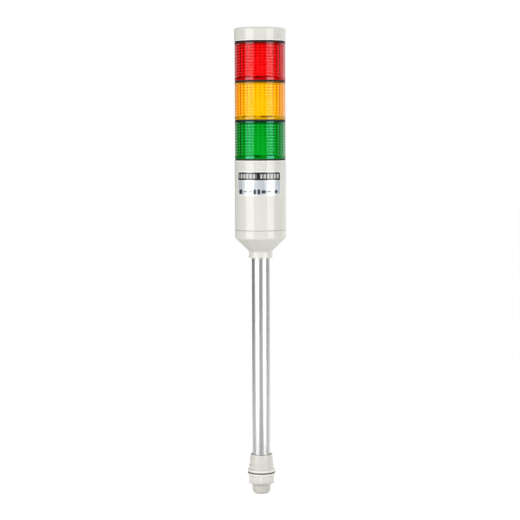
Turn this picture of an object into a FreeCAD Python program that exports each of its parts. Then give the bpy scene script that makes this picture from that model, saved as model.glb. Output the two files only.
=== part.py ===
import FreeCAD, Part
import math
import os

# A stack light: three lens modules on a round housing, a tapered bottom cover, an aluminium
# pole, and a foot whose threaded stem goes through a hole in a machine's panel and is
# clamped there by a loose washer and a hexagon nut.
#
# Millimetres, +Z up. The origin is on the light's axis, level with the underside of the
# foot's gasket, which is the top face of the panel. The front of the light faces -Y.

# ---------------------------------------------------------------- driving sizes: whole light
HOUSING_R = 28.0  # outside radius of the housing, the cover and the head cap
POLE_R = 9.8  # outside radius of the pole
POLE_BARE = 217.7  # length of pole in sight between the foot and the cover
LENS_H = 40.5  # height of one lens
THREAD_R = 10.0  # outside radius of the stem's thread, M20 x 1.5
FIT = 0.05  # radial clearance of pieces that are pushed into each other and stay there
COLOURS = ("green", "yellow", "red")  # the modules, from the lowest to the highest

# ---------------------------------------------------------------- driving sizes: foot
GASKET_T = 1.6
FLANGE_T = 2.3
FLANGE_OVERHANG = 1.4  # flange past the shoulder
SHOULDER_OVERHANG = 1.0  # shoulder past the sleeve
SHOULDER_WAIST = 0.35  # how much narrower the shoulder is just above the flange
SLEEVE_WALL = 3.0  # sleeve past the pole, at the shoulder
RIM_WALL = 0.45  # lip left around the sleeve's mouth
MOUTH_GAP = 1.6  # open gap between the pole and the mouth
MOUTH_DEPTH = 3.0
EDGE_CHAMFER = 0.4  # on the flange's rim and the shoulder
TAPER_H = 0.9  # from the flange up to the shoulder
SHOULDER_H = 4.4
SLEEVE_H = 11.5  # from the shoulder up to the mouth
SLEEVE_BOW = 0.6  # swell of the sleeve halfway up its taper
POLE_SEAT_Z = 3.6  # where the pole's lower end stands inside the foot
CABLE_BORE_R = 6.0
STEM_LENGTH = 22.8
STEM_TAPER_H = 2.8
STEM_END_WALL = 1.7  # flat left around the cable bore at the stem's end
RUNNING_FIT = 0.05  # radial clearance of the nut on the thread
WASHER_T = 2.4
WASHER_CLEARANCE = 0.35  # radial clearance of the washer and the gasket around the thread
NUT_H = 10.4
NUT_WALL = 3.8  # from the thread to the nut's flats
NUT_CHAMFER_LAND = 0.9  # flat left around the thread on the nut's lower face
NUT_CHAMFER_DEG = 27.0

# ---------------------------------------------------------------- driving sizes: pole
POLE_WALL = 1.45
POLE_NECK_CUT = 0.65  # the pole's top end is turned down by this much for its thread
POLE_NECK_BASE = 13.0  # from the cover's mouth up to the shoulder of that neck
WEB_T = 3.0  # web of the cover between the pole's shoulder and its washer
POLE_WASHER_T = 1.2
POLE_NUT_H = 4.0
POLE_NUT_WALL = 3.2
POLE_NECK_SPARE = 1.5  # neck that stands out above its nut

# ---------------------------------------------------------------- driving sizes: cover
WALL = 2.4
COLLAR_WALL = 3.1  # collar past the pole
COLLAR_H = 7.5
CONE_H = 14.3
COVER_BAND_H = 9.1  # straight band above the cone
COVER_EDGE = 0.5  # chamfer of the collar's mouth
SEAM_EDGE = 0.4  # chamfers on both sides of the seam between the cover and the housing
SPIGOT_H = 6.0
SPIGOT_WALL = 2.2
COVER_SEAL_H = 1.8
COVER_SEAL_T = 1.3
COVER_SEAL_RISE = 1.8  # from the seam up to the seal's groove
HOOK_COUNT = 3
HOOK_W = 8.0
HOOK_H = 6.0
HOOK_T = 1.6
HOOK_BARB = 0.8
HOOK_BARB_H = 2.2
HOOK_BARB_LAND = 0.6  # upright end of the barb
HOOK_TIP_T = 0.5  # thickness left at the tongue's tip
HOOK_ROOT = 1.0  # depth to which the tongue's foot is moulded into the spigot
HOOK_GAP = 0.2  # around the hook in its pocket

# ---------------------------------------------------------------- driving sizes: housing
HOUSING_H = 75.8
LIP_OUT = 0.25  # bead around the edges that meet the seals
LIP_H = 1.2
HOUSING_DECK_T = 2.6
BOSS_R = 4.5
BOSS_H = 12.0
LEAD_SLOT_GAP = 0.6  # around the leads where they pass the deck
BOARD_Y = 9.0  # middle plane of the main board, behind the axis
BOARD_T = 1.6
BOARD_SIDE_GAP = 1.2  # from the board's edges to the housing's wall
GUIDE_T = 1.4
GUIDE_REACH = 3.2  # how far each guide rib grips over the board
GUIDE_H = 44.0
GUIDE_ROOT = 0.5  # depth to which the guides are moulded into the wall and the deck
LABEL_T = 0.2
LABEL_TOP_GAP = 11.6  # from the housing's top edge down to the label
LABEL_H = 26.4
LABEL_LEFT_DEG = 59.7  # the label's ends, to either side of the front
LABEL_RIGHT_DEG = 50.7
LABEL_CORNER = 2.2

# ---------------------------------------------------------------- driving sizes: modules
SEAL_T = 1.8
SEAL_SETBACK = 0.7  # seals behind the housing's face
SEAL_LEDGE = 1.1  # seals inside the bore of the lenses
LENS_SETBACK = 0.2  # ribs of the lenses behind the housing's face
LENS_WALL = 2.5
GROOVE_PITCH = 3.05
GROOVE_DEPTH = 0.8
LENS_TOP_BAND = 1.4  # plain band above the first groove
LENS_FOOT_BAND = 2.4  # least plain band below the last groove
FLUTE_COUNT = 36
FLUTE_DEPTH = 0.6
FLUTE_SETBACK = 0.3  # fluted wall inside the plain bore
FLUTE_FOOT = 4.8  # plain bore below the flutes
FLUTE_HEAD = 2.4  # plain bore above them
DECK_T = 1.6
DECK_LAP = 0.7  # rim of the carrier's deck under the lens
BOARD_APOTHEM = 12.0  # from the axis to the flats of the folded LED board
COLUMN_WALL = 1.4
LED_BOARD_T = 1.0
LED_BOARD_RISE = 1.5  # lower edge of the LED board above the deck
COLUMN_HEADROOM = 3.0  # from the top of the LED board to the next seal
LED_W = 4.6
LED_T = 1.5
LED_ROWS = 3
RESISTOR_SIZE = (3.2, 2.2, 2.4)  # across the deck, along its rim, and high
RESISTOR_GAP = 1.8  # from the LEDs out to the resistors
RESISTOR_PAIRS = 6
RESISTOR_OFFSET_DEG = 7.0  # each of a pair to its side
LEAD_R = 0.65
LEAD_PITCH = 1.9
LEAD_HOLE_GAP = 0.25

# ---------------------------------------------------------------- driving sizes: cap, tie bolt
CAP_H = 14.2
CAP_EDGE = 2.2
CAP_BOSS_WALL = 2.0  # around the counterbore
CAP_BOSS_H = 9.0
BOLT_R = 2.0
BOLT_GAP = 0.3  # radial clearance where the bolt passes through
BOLT_HEAD_FLATS = 7.0
BOLT_HEAD_H = 3.2
BOLT_HEAD_SINK = 0.8  # head below the cap's top face
BOLT_GRIP = 10.0  # thread engaged in the housing's boss
BOLT_WASHER_R = 4.6
BOLT_WASHER_T = 1.0

# ---------------------------------------------------------------- driving sizes: main board
TERMINAL_COUNT = 5
TERMINAL_PITCH = 5.08
TERMINAL_H = 9.0
TERMINAL_DEPTH = 8.0
TERMINAL_RISE = 5.0  # from the board's lower edge up to the terminal block
LEVER_SIZE = (3.0, 1.8, 4.4)  # release levers: wide, deep and high
ENTRY_W = 3.2
ENTRY_H = 3.4
ENTRY_DEPTH = 5.5
HEADER_SIZE = (9.6, 2.6, 6.0)  # wide, deep and high
HEADER_DROP = 6.0  # from the board's top edge down to the header
CAPACITOR_R = 4.0
CAPACITOR_L = 11.0
CAPACITOR_X = 10.0
CAPACITOR_DROP = 26.0
RECTIFIER_SIZE = (10.0, 3.5, 8.0)
RECTIFIER_RISE = 5.3  # from the terminal block up to the rectifier

# ---------------------------------------------------------------- levels and shared radii
ORIGIN = FreeCAD.Vector(0, 0, 0)
UP = FreeCAD.Vector(0, 0, 1)

FLANGE_TOP_Z = GASKET_T + FLANGE_T
SHOULDER_Z = FLANGE_TOP_Z + TAPER_H
SLEEVE_Z = SHOULDER_Z + SHOULDER_H
RIM_Z = SLEEVE_Z + SLEEVE_H
SLEEVE_R = POLE_R + SLEEVE_WALL
SHOULDER_R = SLEEVE_R + SHOULDER_OVERHANG
FLANGE_R = SHOULDER_R + FLANGE_OVERHANG
MOUTH_R = POLE_R + MOUTH_GAP

COVER_Z = RIM_Z + POLE_BARE
CONE_Z = COVER_Z + COLLAR_H
BAND_Z = CONE_Z + CONE_H
SEAM_Z = BAND_Z + COVER_BAND_H
NECK_Z = COVER_Z + POLE_NECK_BASE
WEB_Z = NECK_Z + WEB_T
POLE_NUT_Z = WEB_Z + POLE_WASHER_T
POLE_TOP_Z = POLE_NUT_Z + POLE_NUT_H + POLE_NECK_SPARE
NECK_R = POLE_R - POLE_NECK_CUT
COLLAR_R = POLE_R + COLLAR_WALL

HOUSING_BORE_R = HOUSING_R - WALL
SPIGOT_R = HOUSING_BORE_R - FIT
SPIGOT_BORE_R = SPIGOT_R - SPIGOT_WALL
SPIGOT_Z = SEAM_Z + SPIGOT_H
HOUSING_TOP_Z = SEAM_Z + HOUSING_H
DECK_UNDER_Z = HOUSING_TOP_Z - HOUSING_DECK_T

MODULE_PITCH = SEAL_T + LENS_H
CAP_SEAL_Z = HOUSING_TOP_Z + MODULE_PITCH * len(COLOURS)
CAP_Z = CAP_SEAL_Z + SEAL_T
CAP_TOP_Z = CAP_Z + CAP_H
BOLT_HEAD_Z = CAP_TOP_Z - BOLT_HEAD_SINK - BOLT_HEAD_H
BOLT_SEAT_Z = BOLT_HEAD_Z - BOLT_WASHER_T
LENS_R = HOUSING_R - LENS_SETBACK
LENS_BORE_R = LENS_R - LENS_WALL
SEAL_R = HOUSING_R - SEAL_SETBACK
SEAL_BORE_R = LENS_BORE_R - SEAL_LEDGE
DECK_R = LENS_BORE_R + DECK_LAP
COLUMN_APOTHEM = BOARD_APOTHEM - LED_BOARD_T - FIT
PLATE_RISE = LENS_H - COLUMN_HEADROOM - LED_BOARD_T

MAIN_BOARD_FRONT_Y = BOARD_Y - BOARD_T / 2
LEAD_Y = MAIN_BOARD_FRONT_Y - HEADER_SIZE[1] / 2
LEAD_XS = [(i - len(COLOURS) / 2) * LEAD_PITCH for i in range(len(COLOURS) + 1)]


# ---------------------------------------------------------------- shape helpers
def revolve(points, holes=()):
    """Solid of revolution about +Z from (radius, height) points; a triple of points is an arc."""
    edges = []
    last = None
    for item in points + [points[0]]:
        corners = [FreeCAD.Vector(r, 0, z) for r, z in (item if isinstance(item, list) else [item])]
        if last is not None and last.distanceToPoint(corners[0]) > 1e-6:
            edges.append(Part.LineSegment(last, corners[0]).toShape())
        if len(corners) == 3:
            edges.append(Part.Arc(*corners).toShape())
        last = corners[-1]
    solid = Part.Face(Part.Wire(edges)).revolve(ORIGIN, UP, 360)
    for hole in holes:
        solid = solid.cut(hole)
    return solid


def cylinder(radius, low, high, x=0.0, y=0.0):
    """Upright cylinder between two heights."""
    return Part.makeCylinder(radius, high - low, FreeCAD.Vector(x, y, low))


def tube(outer, inner, low, high):
    """Upright ring or tube between two heights."""
    return cylinder(outer, low, high).cut(cylinder(inner, low, high))


def block(low, high):
    """Box between two opposite corners."""
    size = [b - a for a, b in zip(low, high)]
    return Part.makeBox(*size, FreeCAD.Vector(*low))


def prism(radii, low, high, first_deg):
    """Upright prism whose corners lie at the given radii, spread evenly around the axis."""
    corners = []
    for i, radius in enumerate(radii):
        angle = math.radians(first_deg + i * 360 / len(radii))
        corners.append(FreeCAD.Vector(radius * math.cos(angle), radius * math.sin(angle), low))
    face = Part.Face(Part.makePolygon(corners + [corners[0]]))
    return face.extrude(UP * (high - low))


def hexagon(apothem, low, high):
    """Upright hexagonal prism with a corner towards the front."""
    return prism([apothem / math.cos(math.radians(30))] * 6, low, high, -90)


def around(shape, angle):
    """Copy of a shape turned about the light's axis."""
    copy = shape.copy()
    copy.rotate(ORIGIN, UP, angle)
    return copy


def quarter(radius, centre_r, centre_z, start_deg):
    """Three points of a quarter circle in the (radius, height) plane."""
    points = []
    for step in (0, 45, 90):
        angle = math.radians(start_deg + step)
        points.append((centre_r + radius * math.cos(angle), centre_z + radius * math.sin(angle)))
    return points


# ---------------------------------------------------------------- foot
def pole_fitting():
    """Moulded foot: threaded stem, flange, shoulder, and the sleeve that the pole stands in."""
    end_r = CABLE_BORE_R + STEM_END_WALL
    rim_r = MOUTH_R + RIM_WALL
    bow_r = (SLEEVE_R + rim_r) / 2 + SLEEVE_BOW
    return revolve([
        (CABLE_BORE_R, -STEM_LENGTH),
        (end_r, -STEM_LENGTH),
        (THREAD_R, -STEM_LENGTH + STEM_TAPER_H),
        (THREAD_R, GASKET_T),
        (FLANGE_R, GASKET_T),
        (FLANGE_R, FLANGE_TOP_Z - EDGE_CHAMFER),
        (FLANGE_R - EDGE_CHAMFER, FLANGE_TOP_Z),
        (SHOULDER_R - SHOULDER_WAIST, SHOULDER_Z),
        (SHOULDER_R, SLEEVE_Z - EDGE_CHAMFER),
        [(SLEEVE_R, SLEEVE_Z), (bow_r, SLEEVE_Z + SLEEVE_H / 2), (rim_r, RIM_Z)],
        (MOUTH_R, RIM_Z),
        (MOUTH_R, RIM_Z - MOUTH_DEPTH + MOUTH_GAP),
        (POLE_R + FIT, RIM_Z - MOUTH_DEPTH),
        (POLE_R + FIT, POLE_SEAT_Z),
        (CABLE_BORE_R, POLE_SEAT_Z),
    ])


def panel_gasket():
    """Flat rubber ring under the flange."""
    return tube(FLANGE_R, THREAD_R + WASHER_CLEARANCE, 0, GASKET_T)


def clamp_washer():
    """Loose flat washer between the panel and the nut."""
    return tube(FLANGE_R, THREAD_R + WASHER_CLEARANCE, -WASHER_T, 0)


def mounting_nut():
    """Hexagon nut whose lower face is chamfered almost down to the thread."""
    top = -WASHER_T
    low = top - NUT_H
    apothem = THREAD_R + NUT_WALL
    corner_r = apothem / math.cos(math.radians(30))
    land_r = THREAD_R + NUT_CHAMFER_LAND
    rise = (corner_r - land_r) * math.tan(math.radians(NUT_CHAMFER_DEG))
    envelope = revolve([
        (THREAD_R + RUNNING_FIT, low),
        (land_r, low),
        (corner_r, low + rise),
        (corner_r, top),
        (THREAD_R + RUNNING_FIT, top),
    ])
    return envelope.common(hexagon(apothem, low, top))


# ---------------------------------------------------------------- pole
def pole():
    """Aluminium tube with a turned-down neck at its top end."""
    bore_r = POLE_R - POLE_WALL
    return revolve([
        (bore_r, POLE_SEAT_Z),
        (POLE_R, POLE_SEAT_Z),
        (POLE_R, NECK_Z),
        (NECK_R, NECK_Z),
        (NECK_R, POLE_TOP_Z),
        (bore_r, POLE_TOP_Z),
    ])


def pole_washer():
    """Washer on the cover's web, under the pole's lock nut."""
    return tube(COLLAR_R, NECK_R + FIT, WEB_Z, POLE_NUT_Z)


def pole_lock_nut():
    """Thin hexagon nut that pulls the pole's shoulder against the cover's web."""
    body = hexagon(NECK_R + POLE_NUT_WALL, POLE_NUT_Z, POLE_NUT_Z + POLE_NUT_H)
    return body.cut(cylinder(NECK_R + FIT, POLE_NUT_Z, POLE_NUT_Z + POLE_NUT_H))


# ---------------------------------------------------------------- bottom cover
def snap_hook(grow=0.0):
    """One barbed tongue on the cover's spigot; grow adds clearance for the housing's pocket."""
    root_r = SPIGOT_R - HOOK_T
    tip_z = SPIGOT_Z + HOOK_H
    barb_z = tip_z - HOOK_BARB_H
    outline = [
        (root_r, SPIGOT_Z - HOOK_ROOT),
        (SPIGOT_R, SPIGOT_Z - HOOK_ROOT),
        (SPIGOT_R, barb_z - grow),
        (SPIGOT_R + HOOK_BARB + grow, barb_z - grow),
        (SPIGOT_R + HOOK_BARB + grow, barb_z + grow + HOOK_BARB_LAND),
        (root_r + HOOK_TIP_T, tip_z + grow),
        (root_r, tip_z + grow),
    ]
    half_w = HOOK_W / 2 + grow
    corners = [FreeCAD.Vector(r, -half_w, z) for r, z in outline]
    face = Part.Face(Part.makePolygon(corners + [corners[0]]))
    return face.extrude(FreeCAD.Vector(0, 2 * half_w, 0))


def hook_angles():
    """Directions of the snap hooks, clear of the front and of the main board."""
    return [90 + i * 360 / HOOK_COUNT for i in range(HOOK_COUNT)]


def bottom_cover():
    """Tapered cover: collar around the pole, cone, band, and the spigot inside the housing."""
    slope = (HOUSING_R - COLLAR_R) / CONE_H
    inset = WALL * math.hypot(1, slope)
    floor_z = NECK_Z - WALL
    floor_r = COLLAR_R + (floor_z - CONE_Z) * slope - inset
    bore_z = CONE_Z + (SPIGOT_BORE_R + inset - COLLAR_R) / slope
    groove_z = SEAM_Z + COVER_SEAL_RISE
    shell = revolve([
        (POLE_R + FIT, COVER_Z),
        (COLLAR_R - COVER_EDGE, COVER_Z),
        (COLLAR_R, COVER_Z + COVER_EDGE),
        (COLLAR_R, CONE_Z),
        (HOUSING_R, BAND_Z),
        (HOUSING_R, SEAM_Z - SEAM_EDGE),
        (HOUSING_R - SEAM_EDGE, SEAM_Z),
        (SPIGOT_R, SEAM_Z),
        (SPIGOT_R, groove_z),
        (SPIGOT_R - COVER_SEAL_T, groove_z),
        (SPIGOT_R - COVER_SEAL_T, groove_z + COVER_SEAL_H),
        (SPIGOT_R, groove_z + COVER_SEAL_H),
        (SPIGOT_R, SPIGOT_Z),
        (SPIGOT_BORE_R, SPIGOT_Z),
        (SPIGOT_BORE_R, bore_z),
        (floor_r, floor_z),
        (COLLAR_R, floor_z),
        (COLLAR_R, WEB_Z),
        (NECK_R + FIT, WEB_Z),
        (NECK_R + FIT, NECK_Z),
        (POLE_R + FIT, NECK_Z),
    ])
    hook = snap_hook()
    return shell.multiFuse([around(hook, angle) for angle in hook_angles()]).removeSplitter()


def cover_seal():
    """Square-section ring in the spigot's groove, pressed out to the housing's wall."""
    low = SEAM_Z + COVER_SEAL_RISE
    return tube(HOUSING_BORE_R, SPIGOT_R - COVER_SEAL_T, low, low + COVER_SEAL_H)


# ---------------------------------------------------------------- housing
def board_half_width():
    """Half the width of the main board, which reaches almost to the housing's wall."""
    return math.sqrt(HOUSING_BORE_R ** 2 - BOARD_Y ** 2) - BOARD_SIDE_GAP


def base_housing():
    """Round housing: deck with the tie bolt's boss on top, and guides for the main board."""
    top = HOUSING_TOP_Z
    shell = revolve([
        (HOUSING_BORE_R, SEAM_Z),
        (HOUSING_R - SEAM_EDGE, SEAM_Z),
        (HOUSING_R, SEAM_Z + SEAM_EDGE),
        (HOUSING_R, top - LIP_H),
        (HOUSING_R + LIP_OUT, top - LIP_H + LIP_OUT),
        (HOUSING_R + LIP_OUT, top - LIP_OUT),
        (HOUSING_R, top),
        (BOLT_R + FIT, top),
        (BOLT_R + FIT, DECK_UNDER_Z - BOLT_GRIP),
        (0, DECK_UNDER_Z - BOLT_GRIP),
        (0, DECK_UNDER_Z - BOSS_H),
        (BOSS_R, DECK_UNDER_Z - BOSS_H),
        (BOSS_R, DECK_UNDER_Z),
        (HOUSING_BORE_R, DECK_UNDER_Z),
    ])
    additions = []
    inside = cylinder(HOUSING_BORE_R + GUIDE_ROOT, DECK_UNDER_Z - GUIDE_H, DECK_UNDER_Z + GUIDE_ROOT)
    half_w = board_half_width()
    for side in (-1, 1):
        inner, outer = sorted((side * (half_w - GUIDE_REACH), side * HOUSING_R))
        for face_y in (BOARD_Y - BOARD_T / 2 - GUIDE_T - FIT, BOARD_Y + BOARD_T / 2 + FIT):
            low = (inner, face_y, DECK_UNDER_Z - GUIDE_H)
            high = (outer, face_y + GUIDE_T, DECK_UNDER_Z + GUIDE_ROOT)
            additions.append(block(low, high).common(inside))
    body = shell.multiFuse(additions)
    pocket = snap_hook(grow=HOOK_GAP)
    cuts = [around(pocket, angle) for angle in hook_angles()]
    cuts.append(lead_window(LEAD_XS, LEAD_SLOT_GAP, DECK_UNDER_Z, top))
    return body.cut(Part.makeCompound(cuts)).removeSplitter()


def name_label():
    """Foil label on the front of the housing, with rounded corners."""
    top = HOUSING_TOP_Z - LABEL_TOP_GAP
    low = top - LABEL_H
    sweep = LABEL_LEFT_DEG + LABEL_RIGHT_DEG
    outer_r = HOUSING_R + LABEL_T
    base = FreeCAD.Vector(0, 0, low)
    outer = Part.makeCylinder(outer_r, LABEL_H, base, UP, sweep)
    inner = Part.makeCylinder(HOUSING_R, LABEL_H, base, UP, sweep)
    sheet = outer.cut(inner)
    corners = []
    for edge in sheet.Edges:
        ends = [vertex.Point for vertex in edge.Vertexes]
        if len(ends) != 2:
            continue
        flat = abs(ends[0].z - ends[1].z) < 1e-6
        if flat and abs(edge.Length - LABEL_T) < 1e-6:
            corners.append(edge)
    sheet = sheet.makeFillet(LABEL_CORNER, corners)
    return around(sheet, -90 - LABEL_LEFT_DEG)


# ---------------------------------------------------------------- main board
def main_board():
    """Upright circuit board between the housing's deck and the rim of the cover's spigot."""
    half_w = board_half_width()
    low = (-half_w, BOARD_Y - BOARD_T / 2, SPIGOT_Z)
    return block(low, (half_w, BOARD_Y + BOARD_T / 2, DECK_UNDER_Z))


def terminal_block():
    """Row of spring clamps with a wire entry from below for each of them."""
    half_w = TERMINAL_COUNT * TERMINAL_PITCH / 2
    low_z = SPIGOT_Z + TERMINAL_RISE
    front_y = MAIN_BOARD_FRONT_Y - TERMINAL_DEPTH
    body = block((-half_w, front_y, low_z), (half_w, MAIN_BOARD_FRONT_Y, low_z + TERMINAL_H))
    middle_y = front_y + TERMINAL_DEPTH / 2
    entries = []
    for x in terminal_xs():
        low = (x - ENTRY_W / 2, middle_y - ENTRY_H / 2, low_z)
        entries.append(block(low, (x + ENTRY_W / 2, middle_y + ENTRY_H / 2, low_z + ENTRY_DEPTH)))
    return body.cut(Part.makeCompound(entries))


def terminal_xs():
    """Middles of the terminals across the board."""
    return [(i - (TERMINAL_COUNT - 1) / 2) * TERMINAL_PITCH for i in range(TERMINAL_COUNT)]


def terminal_levers():
    """Release levers on the terminal block's front, one for each wire."""
    wide, deep, high = LEVER_SIZE
    front_y = MAIN_BOARD_FRONT_Y - TERMINAL_DEPTH
    low_z = SPIGOT_Z + TERMINAL_RISE + (TERMINAL_H - high) / 2
    levers = []
    for x in terminal_xs():
        low = (x - wide / 2, front_y - deep, low_z)
        levers.append(block(low, (x + wide / 2, front_y, low_z + high)))
    return Part.makeCompound(levers)


def board_parts():
    """Lead header, two capacitors and a rectifier on the board's front face."""
    toward_front = FreeCAD.Vector(0, -1, 0)
    pieces = []
    header_z = DECK_UNDER_Z - HEADER_DROP - HEADER_SIZE[2]
    rectifier_z = SPIGOT_Z + TERMINAL_RISE + TERMINAL_H + RECTIFIER_RISE
    for size, low_z in ((HEADER_SIZE, header_z), (RECTIFIER_SIZE, rectifier_z)):
        wide, deep, high = size
        low = (-wide / 2, MAIN_BOARD_FRONT_Y - deep, low_z)
        pieces.append(block(low, (wide / 2, MAIN_BOARD_FRONT_Y, low_z + high)))
    for side in (-1, 1):
        base = FreeCAD.Vector(side * CAPACITOR_X, MAIN_BOARD_FRONT_Y, DECK_UNDER_Z - CAPACITOR_DROP)
        pieces.append(Part.makeCylinder(CAPACITOR_R, CAPACITOR_L, base, toward_front))
    return Part.makeCompound(pieces)


def module_leads():
    """One straight lead from the header to each LED board, and the common lead to the last."""
    low = DECK_UNDER_Z - HEADER_DROP
    leads = []
    for i, x in enumerate(LEAD_XS):
        level = min(i, len(COLOURS) - 1)
        plate_z = module_base(level) + PLATE_RISE
        leads.append(cylinder(LEAD_R, low, plate_z, x, LEAD_Y))
    return Part.makeCompound(leads)


def lead_window(xs, gap, low, high):
    """Cutter for the slot that the leads at the given places pass through."""
    reach = LEAD_R + gap
    return block((min(xs) - reach, LEAD_Y - reach, low), (max(xs) + reach, LEAD_Y + reach, high))


# ---------------------------------------------------------------- modules
def module_base(level):
    """Height of a module's lens foot, which stands on its seal."""
    return HOUSING_TOP_Z + level * MODULE_PITCH + SEAL_T


def seal(low):
    """Flat rubber ring between two modules."""
    return tube(SEAL_R, SEAL_BORE_R, low, low + SEAL_T)


def lens(level):
    """Ribbed lens: V grooves around the outside, V flutes up the inside, plain bands at the ends."""
    low = module_base(level)
    top = low + LENS_H
    ribbed = LENS_H - LENS_TOP_BAND - LENS_FOOT_BAND
    count = int(ribbed / GROOVE_PITCH)
    outline = [(DECK_R + FIT, low), (LENS_R, low)]
    for i in reversed(range(count)):
        crest_z = top - LENS_TOP_BAND - (i + 1) * GROOVE_PITCH
        outline.append((LENS_R, crest_z))
        outline.append((LENS_R - GROOVE_DEPTH, crest_z + GROOVE_PITCH / 2))
    outline += [
        (LENS_R, top - LENS_TOP_BAND),
        (LENS_R, top),
        (LENS_BORE_R, top),
        (LENS_BORE_R, top - FLUTE_HEAD),
        (LENS_BORE_R - FLUTE_SETBACK - FLUTE_DEPTH * 2, top - FLUTE_HEAD),
        (LENS_BORE_R - FLUTE_SETBACK - FLUTE_DEPTH * 2, low + FLUTE_FOOT),
        (LENS_BORE_R, low + FLUTE_FOOT),
        (LENS_BORE_R, low + DECK_T),
        (DECK_R + FIT, low + DECK_T),
    ]
    valley_r = LENS_BORE_R - FLUTE_SETBACK
    flutes = prism([valley_r, valley_r - FLUTE_DEPTH] * FLUTE_COUNT, low, top, -90)
    return revolve(outline, [flutes])


def led_carrier(level):
    """Moulded deck clamped under the lens, with the hexagonal column that holds the LED board."""
    low = module_base(level)
    deck = cylinder(DECK_R, low, low + DECK_T)
    column = hexagon(COLUMN_APOTHEM, low, low + PLATE_RISE)
    hollow = hexagon(COLUMN_APOTHEM - COLUMN_WALL, low, low + PLATE_RISE)
    return deck.fuse(column).cut(hollow).removeSplitter()


def led_board(level):
    """Circuit board folded over the column: six upright strips below a hexagonal plate."""
    low = module_base(level)
    plate_z = low + PLATE_RISE
    outside = hexagon(BOARD_APOTHEM, low + DECK_T + LED_BOARD_RISE, plate_z + LED_BOARD_T)
    inside = hexagon(BOARD_APOTHEM - LED_BOARD_T, low + DECK_T + LED_BOARD_RISE, plate_z)
    cuts = [inside, cylinder(BOLT_R + BOLT_GAP, plate_z, plate_z + LED_BOARD_T)]
    onward = LEAD_XS[level + 1:]
    if level < len(COLOURS) - 1:
        cuts.append(lead_window(onward, LEAD_HOLE_GAP, plate_z, plate_z + LED_BOARD_T))
    return outside.cut(Part.makeCompound(cuts))


def leds(level):
    """LED packages in rows up each of the board's six faces."""
    low = module_base(level) + DECK_T + LED_BOARD_RISE
    step = (module_base(level) + PLATE_RISE + LED_BOARD_T - low) / LED_ROWS
    packages = []
    for row in range(LED_ROWS):
        middle = low + (row + 0.5) * step
        package = block(
            (BOARD_APOTHEM, -LED_W / 2, middle - LED_W / 2),
            (BOARD_APOTHEM + LED_T, LED_W / 2, middle + LED_W / 2),
        )
        packages += [around(package, -60 + 60 * face) for face in range(6)]
    return Part.makeCompound(packages)


def resistors(level):
    """Resistors standing on the deck in pairs around the LED board."""
    low = module_base(level) + DECK_T
    across, along, high = RESISTOR_SIZE
    r = BOARD_APOTHEM / math.cos(math.radians(30)) + LED_T + RESISTOR_GAP
    body = block((r, -along / 2, low), (r + across, along / 2, low + high))
    pieces = []
    for pair in range(RESISTOR_PAIRS):
        for offset in (-RESISTOR_OFFSET_DEG, RESISTOR_OFFSET_DEG):
            pieces.append(around(body, -90 + pair * 360 / RESISTOR_PAIRS + offset))
    return Part.makeCompound(pieces)


# ---------------------------------------------------------------- cap and tie bolt
def head_cap():
    """Moulded cap: rounded top edge, beaded lower edge, and the tie bolt's counterbored boss."""
    bolt_r = BOLT_R + BOLT_GAP
    counterbore_r = BOLT_WASHER_R + BOLT_GAP
    boss_r = counterbore_r + CAP_BOSS_WALL
    return revolve([
        (bolt_r, CAP_TOP_Z - CAP_BOSS_H),
        (boss_r, CAP_TOP_Z - CAP_BOSS_H),
        (boss_r, CAP_TOP_Z - WALL),
        (HOUSING_BORE_R, CAP_TOP_Z - WALL),
        (HOUSING_BORE_R, CAP_Z),
        (HOUSING_R, CAP_Z),
        (HOUSING_R + LIP_OUT, CAP_Z + LIP_OUT),
        (HOUSING_R + LIP_OUT, CAP_Z + LIP_H - LIP_OUT),
        (HOUSING_R, CAP_Z + LIP_H),
        quarter(CAP_EDGE, HOUSING_R - CAP_EDGE, CAP_TOP_Z - CAP_EDGE, 0),
        (counterbore_r, CAP_TOP_Z),
        (counterbore_r, BOLT_SEAT_Z),
        (bolt_r, BOLT_SEAT_Z),
    ])


def bolt_washer():
    """Sealing washer under the tie bolt's head."""
    return tube(BOLT_WASHER_R, BOLT_R + FIT, BOLT_SEAT_Z, BOLT_HEAD_Z)


def tie_bolt():
    """Long bolt that clamps the cap and the modules down onto the housing."""
    shank = cylinder(BOLT_R, DECK_UNDER_Z - BOLT_GRIP, BOLT_HEAD_Z)
    head = hexagon(BOLT_HEAD_FLATS / 2, BOLT_HEAD_Z, BOLT_HEAD_Z + BOLT_HEAD_H)
    return shank.fuse(head).removeSplitter()


# ---------------------------------------------------------------- build
def build():
    """Every node of the light, by name."""
    nodes = {
        "pole_fitting": pole_fitting(),
        "panel_gasket": panel_gasket(),
        "clamp_washer": clamp_washer(),
        "mounting_nut": mounting_nut(),
        "pole": pole(),
        "pole_washer": pole_washer(),
        "pole_lock_nut": pole_lock_nut(),
        "bottom_cover": bottom_cover(),
        "cover_seal": cover_seal(),
        "base_housing": base_housing(),
        "name_label": name_label(),
        "main_board": main_board(),
        "terminal_block": terminal_block(),
        "terminal_levers": terminal_levers(),
        "board_parts": board_parts(),
        "module_leads": module_leads(),
        "cap_seal": seal(CAP_SEAL_Z),
        "head_cap": head_cap(),
        "bolt_washer": bolt_washer(),
        "tie_bolt": tie_bolt(),
    }
    for level, colour in enumerate(COLOURS):
        nodes[colour + "_seal"] = seal(module_base(level) - SEAL_T)
        nodes[colour + "_lens"] = lens(level)
        nodes[colour + "_led_carrier"] = led_carrier(level)
        nodes[colour + "_led_board"] = led_board(level)
        nodes[colour + "_leds"] = leds(level)
        nodes[colour + "_resistors"] = resistors(level)
    return nodes


os.makedirs("parts", exist_ok=True)
for name, shape in build().items():
    shape.exportStep("parts/" + name + ".step")
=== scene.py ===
"""Stack light: three ribbed lenses on an ivory housing, an aluminium pole and a threaded foot."""

import logging
import math
from collections.abc import Callable
from dataclasses import dataclass
from enum import Enum

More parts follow.
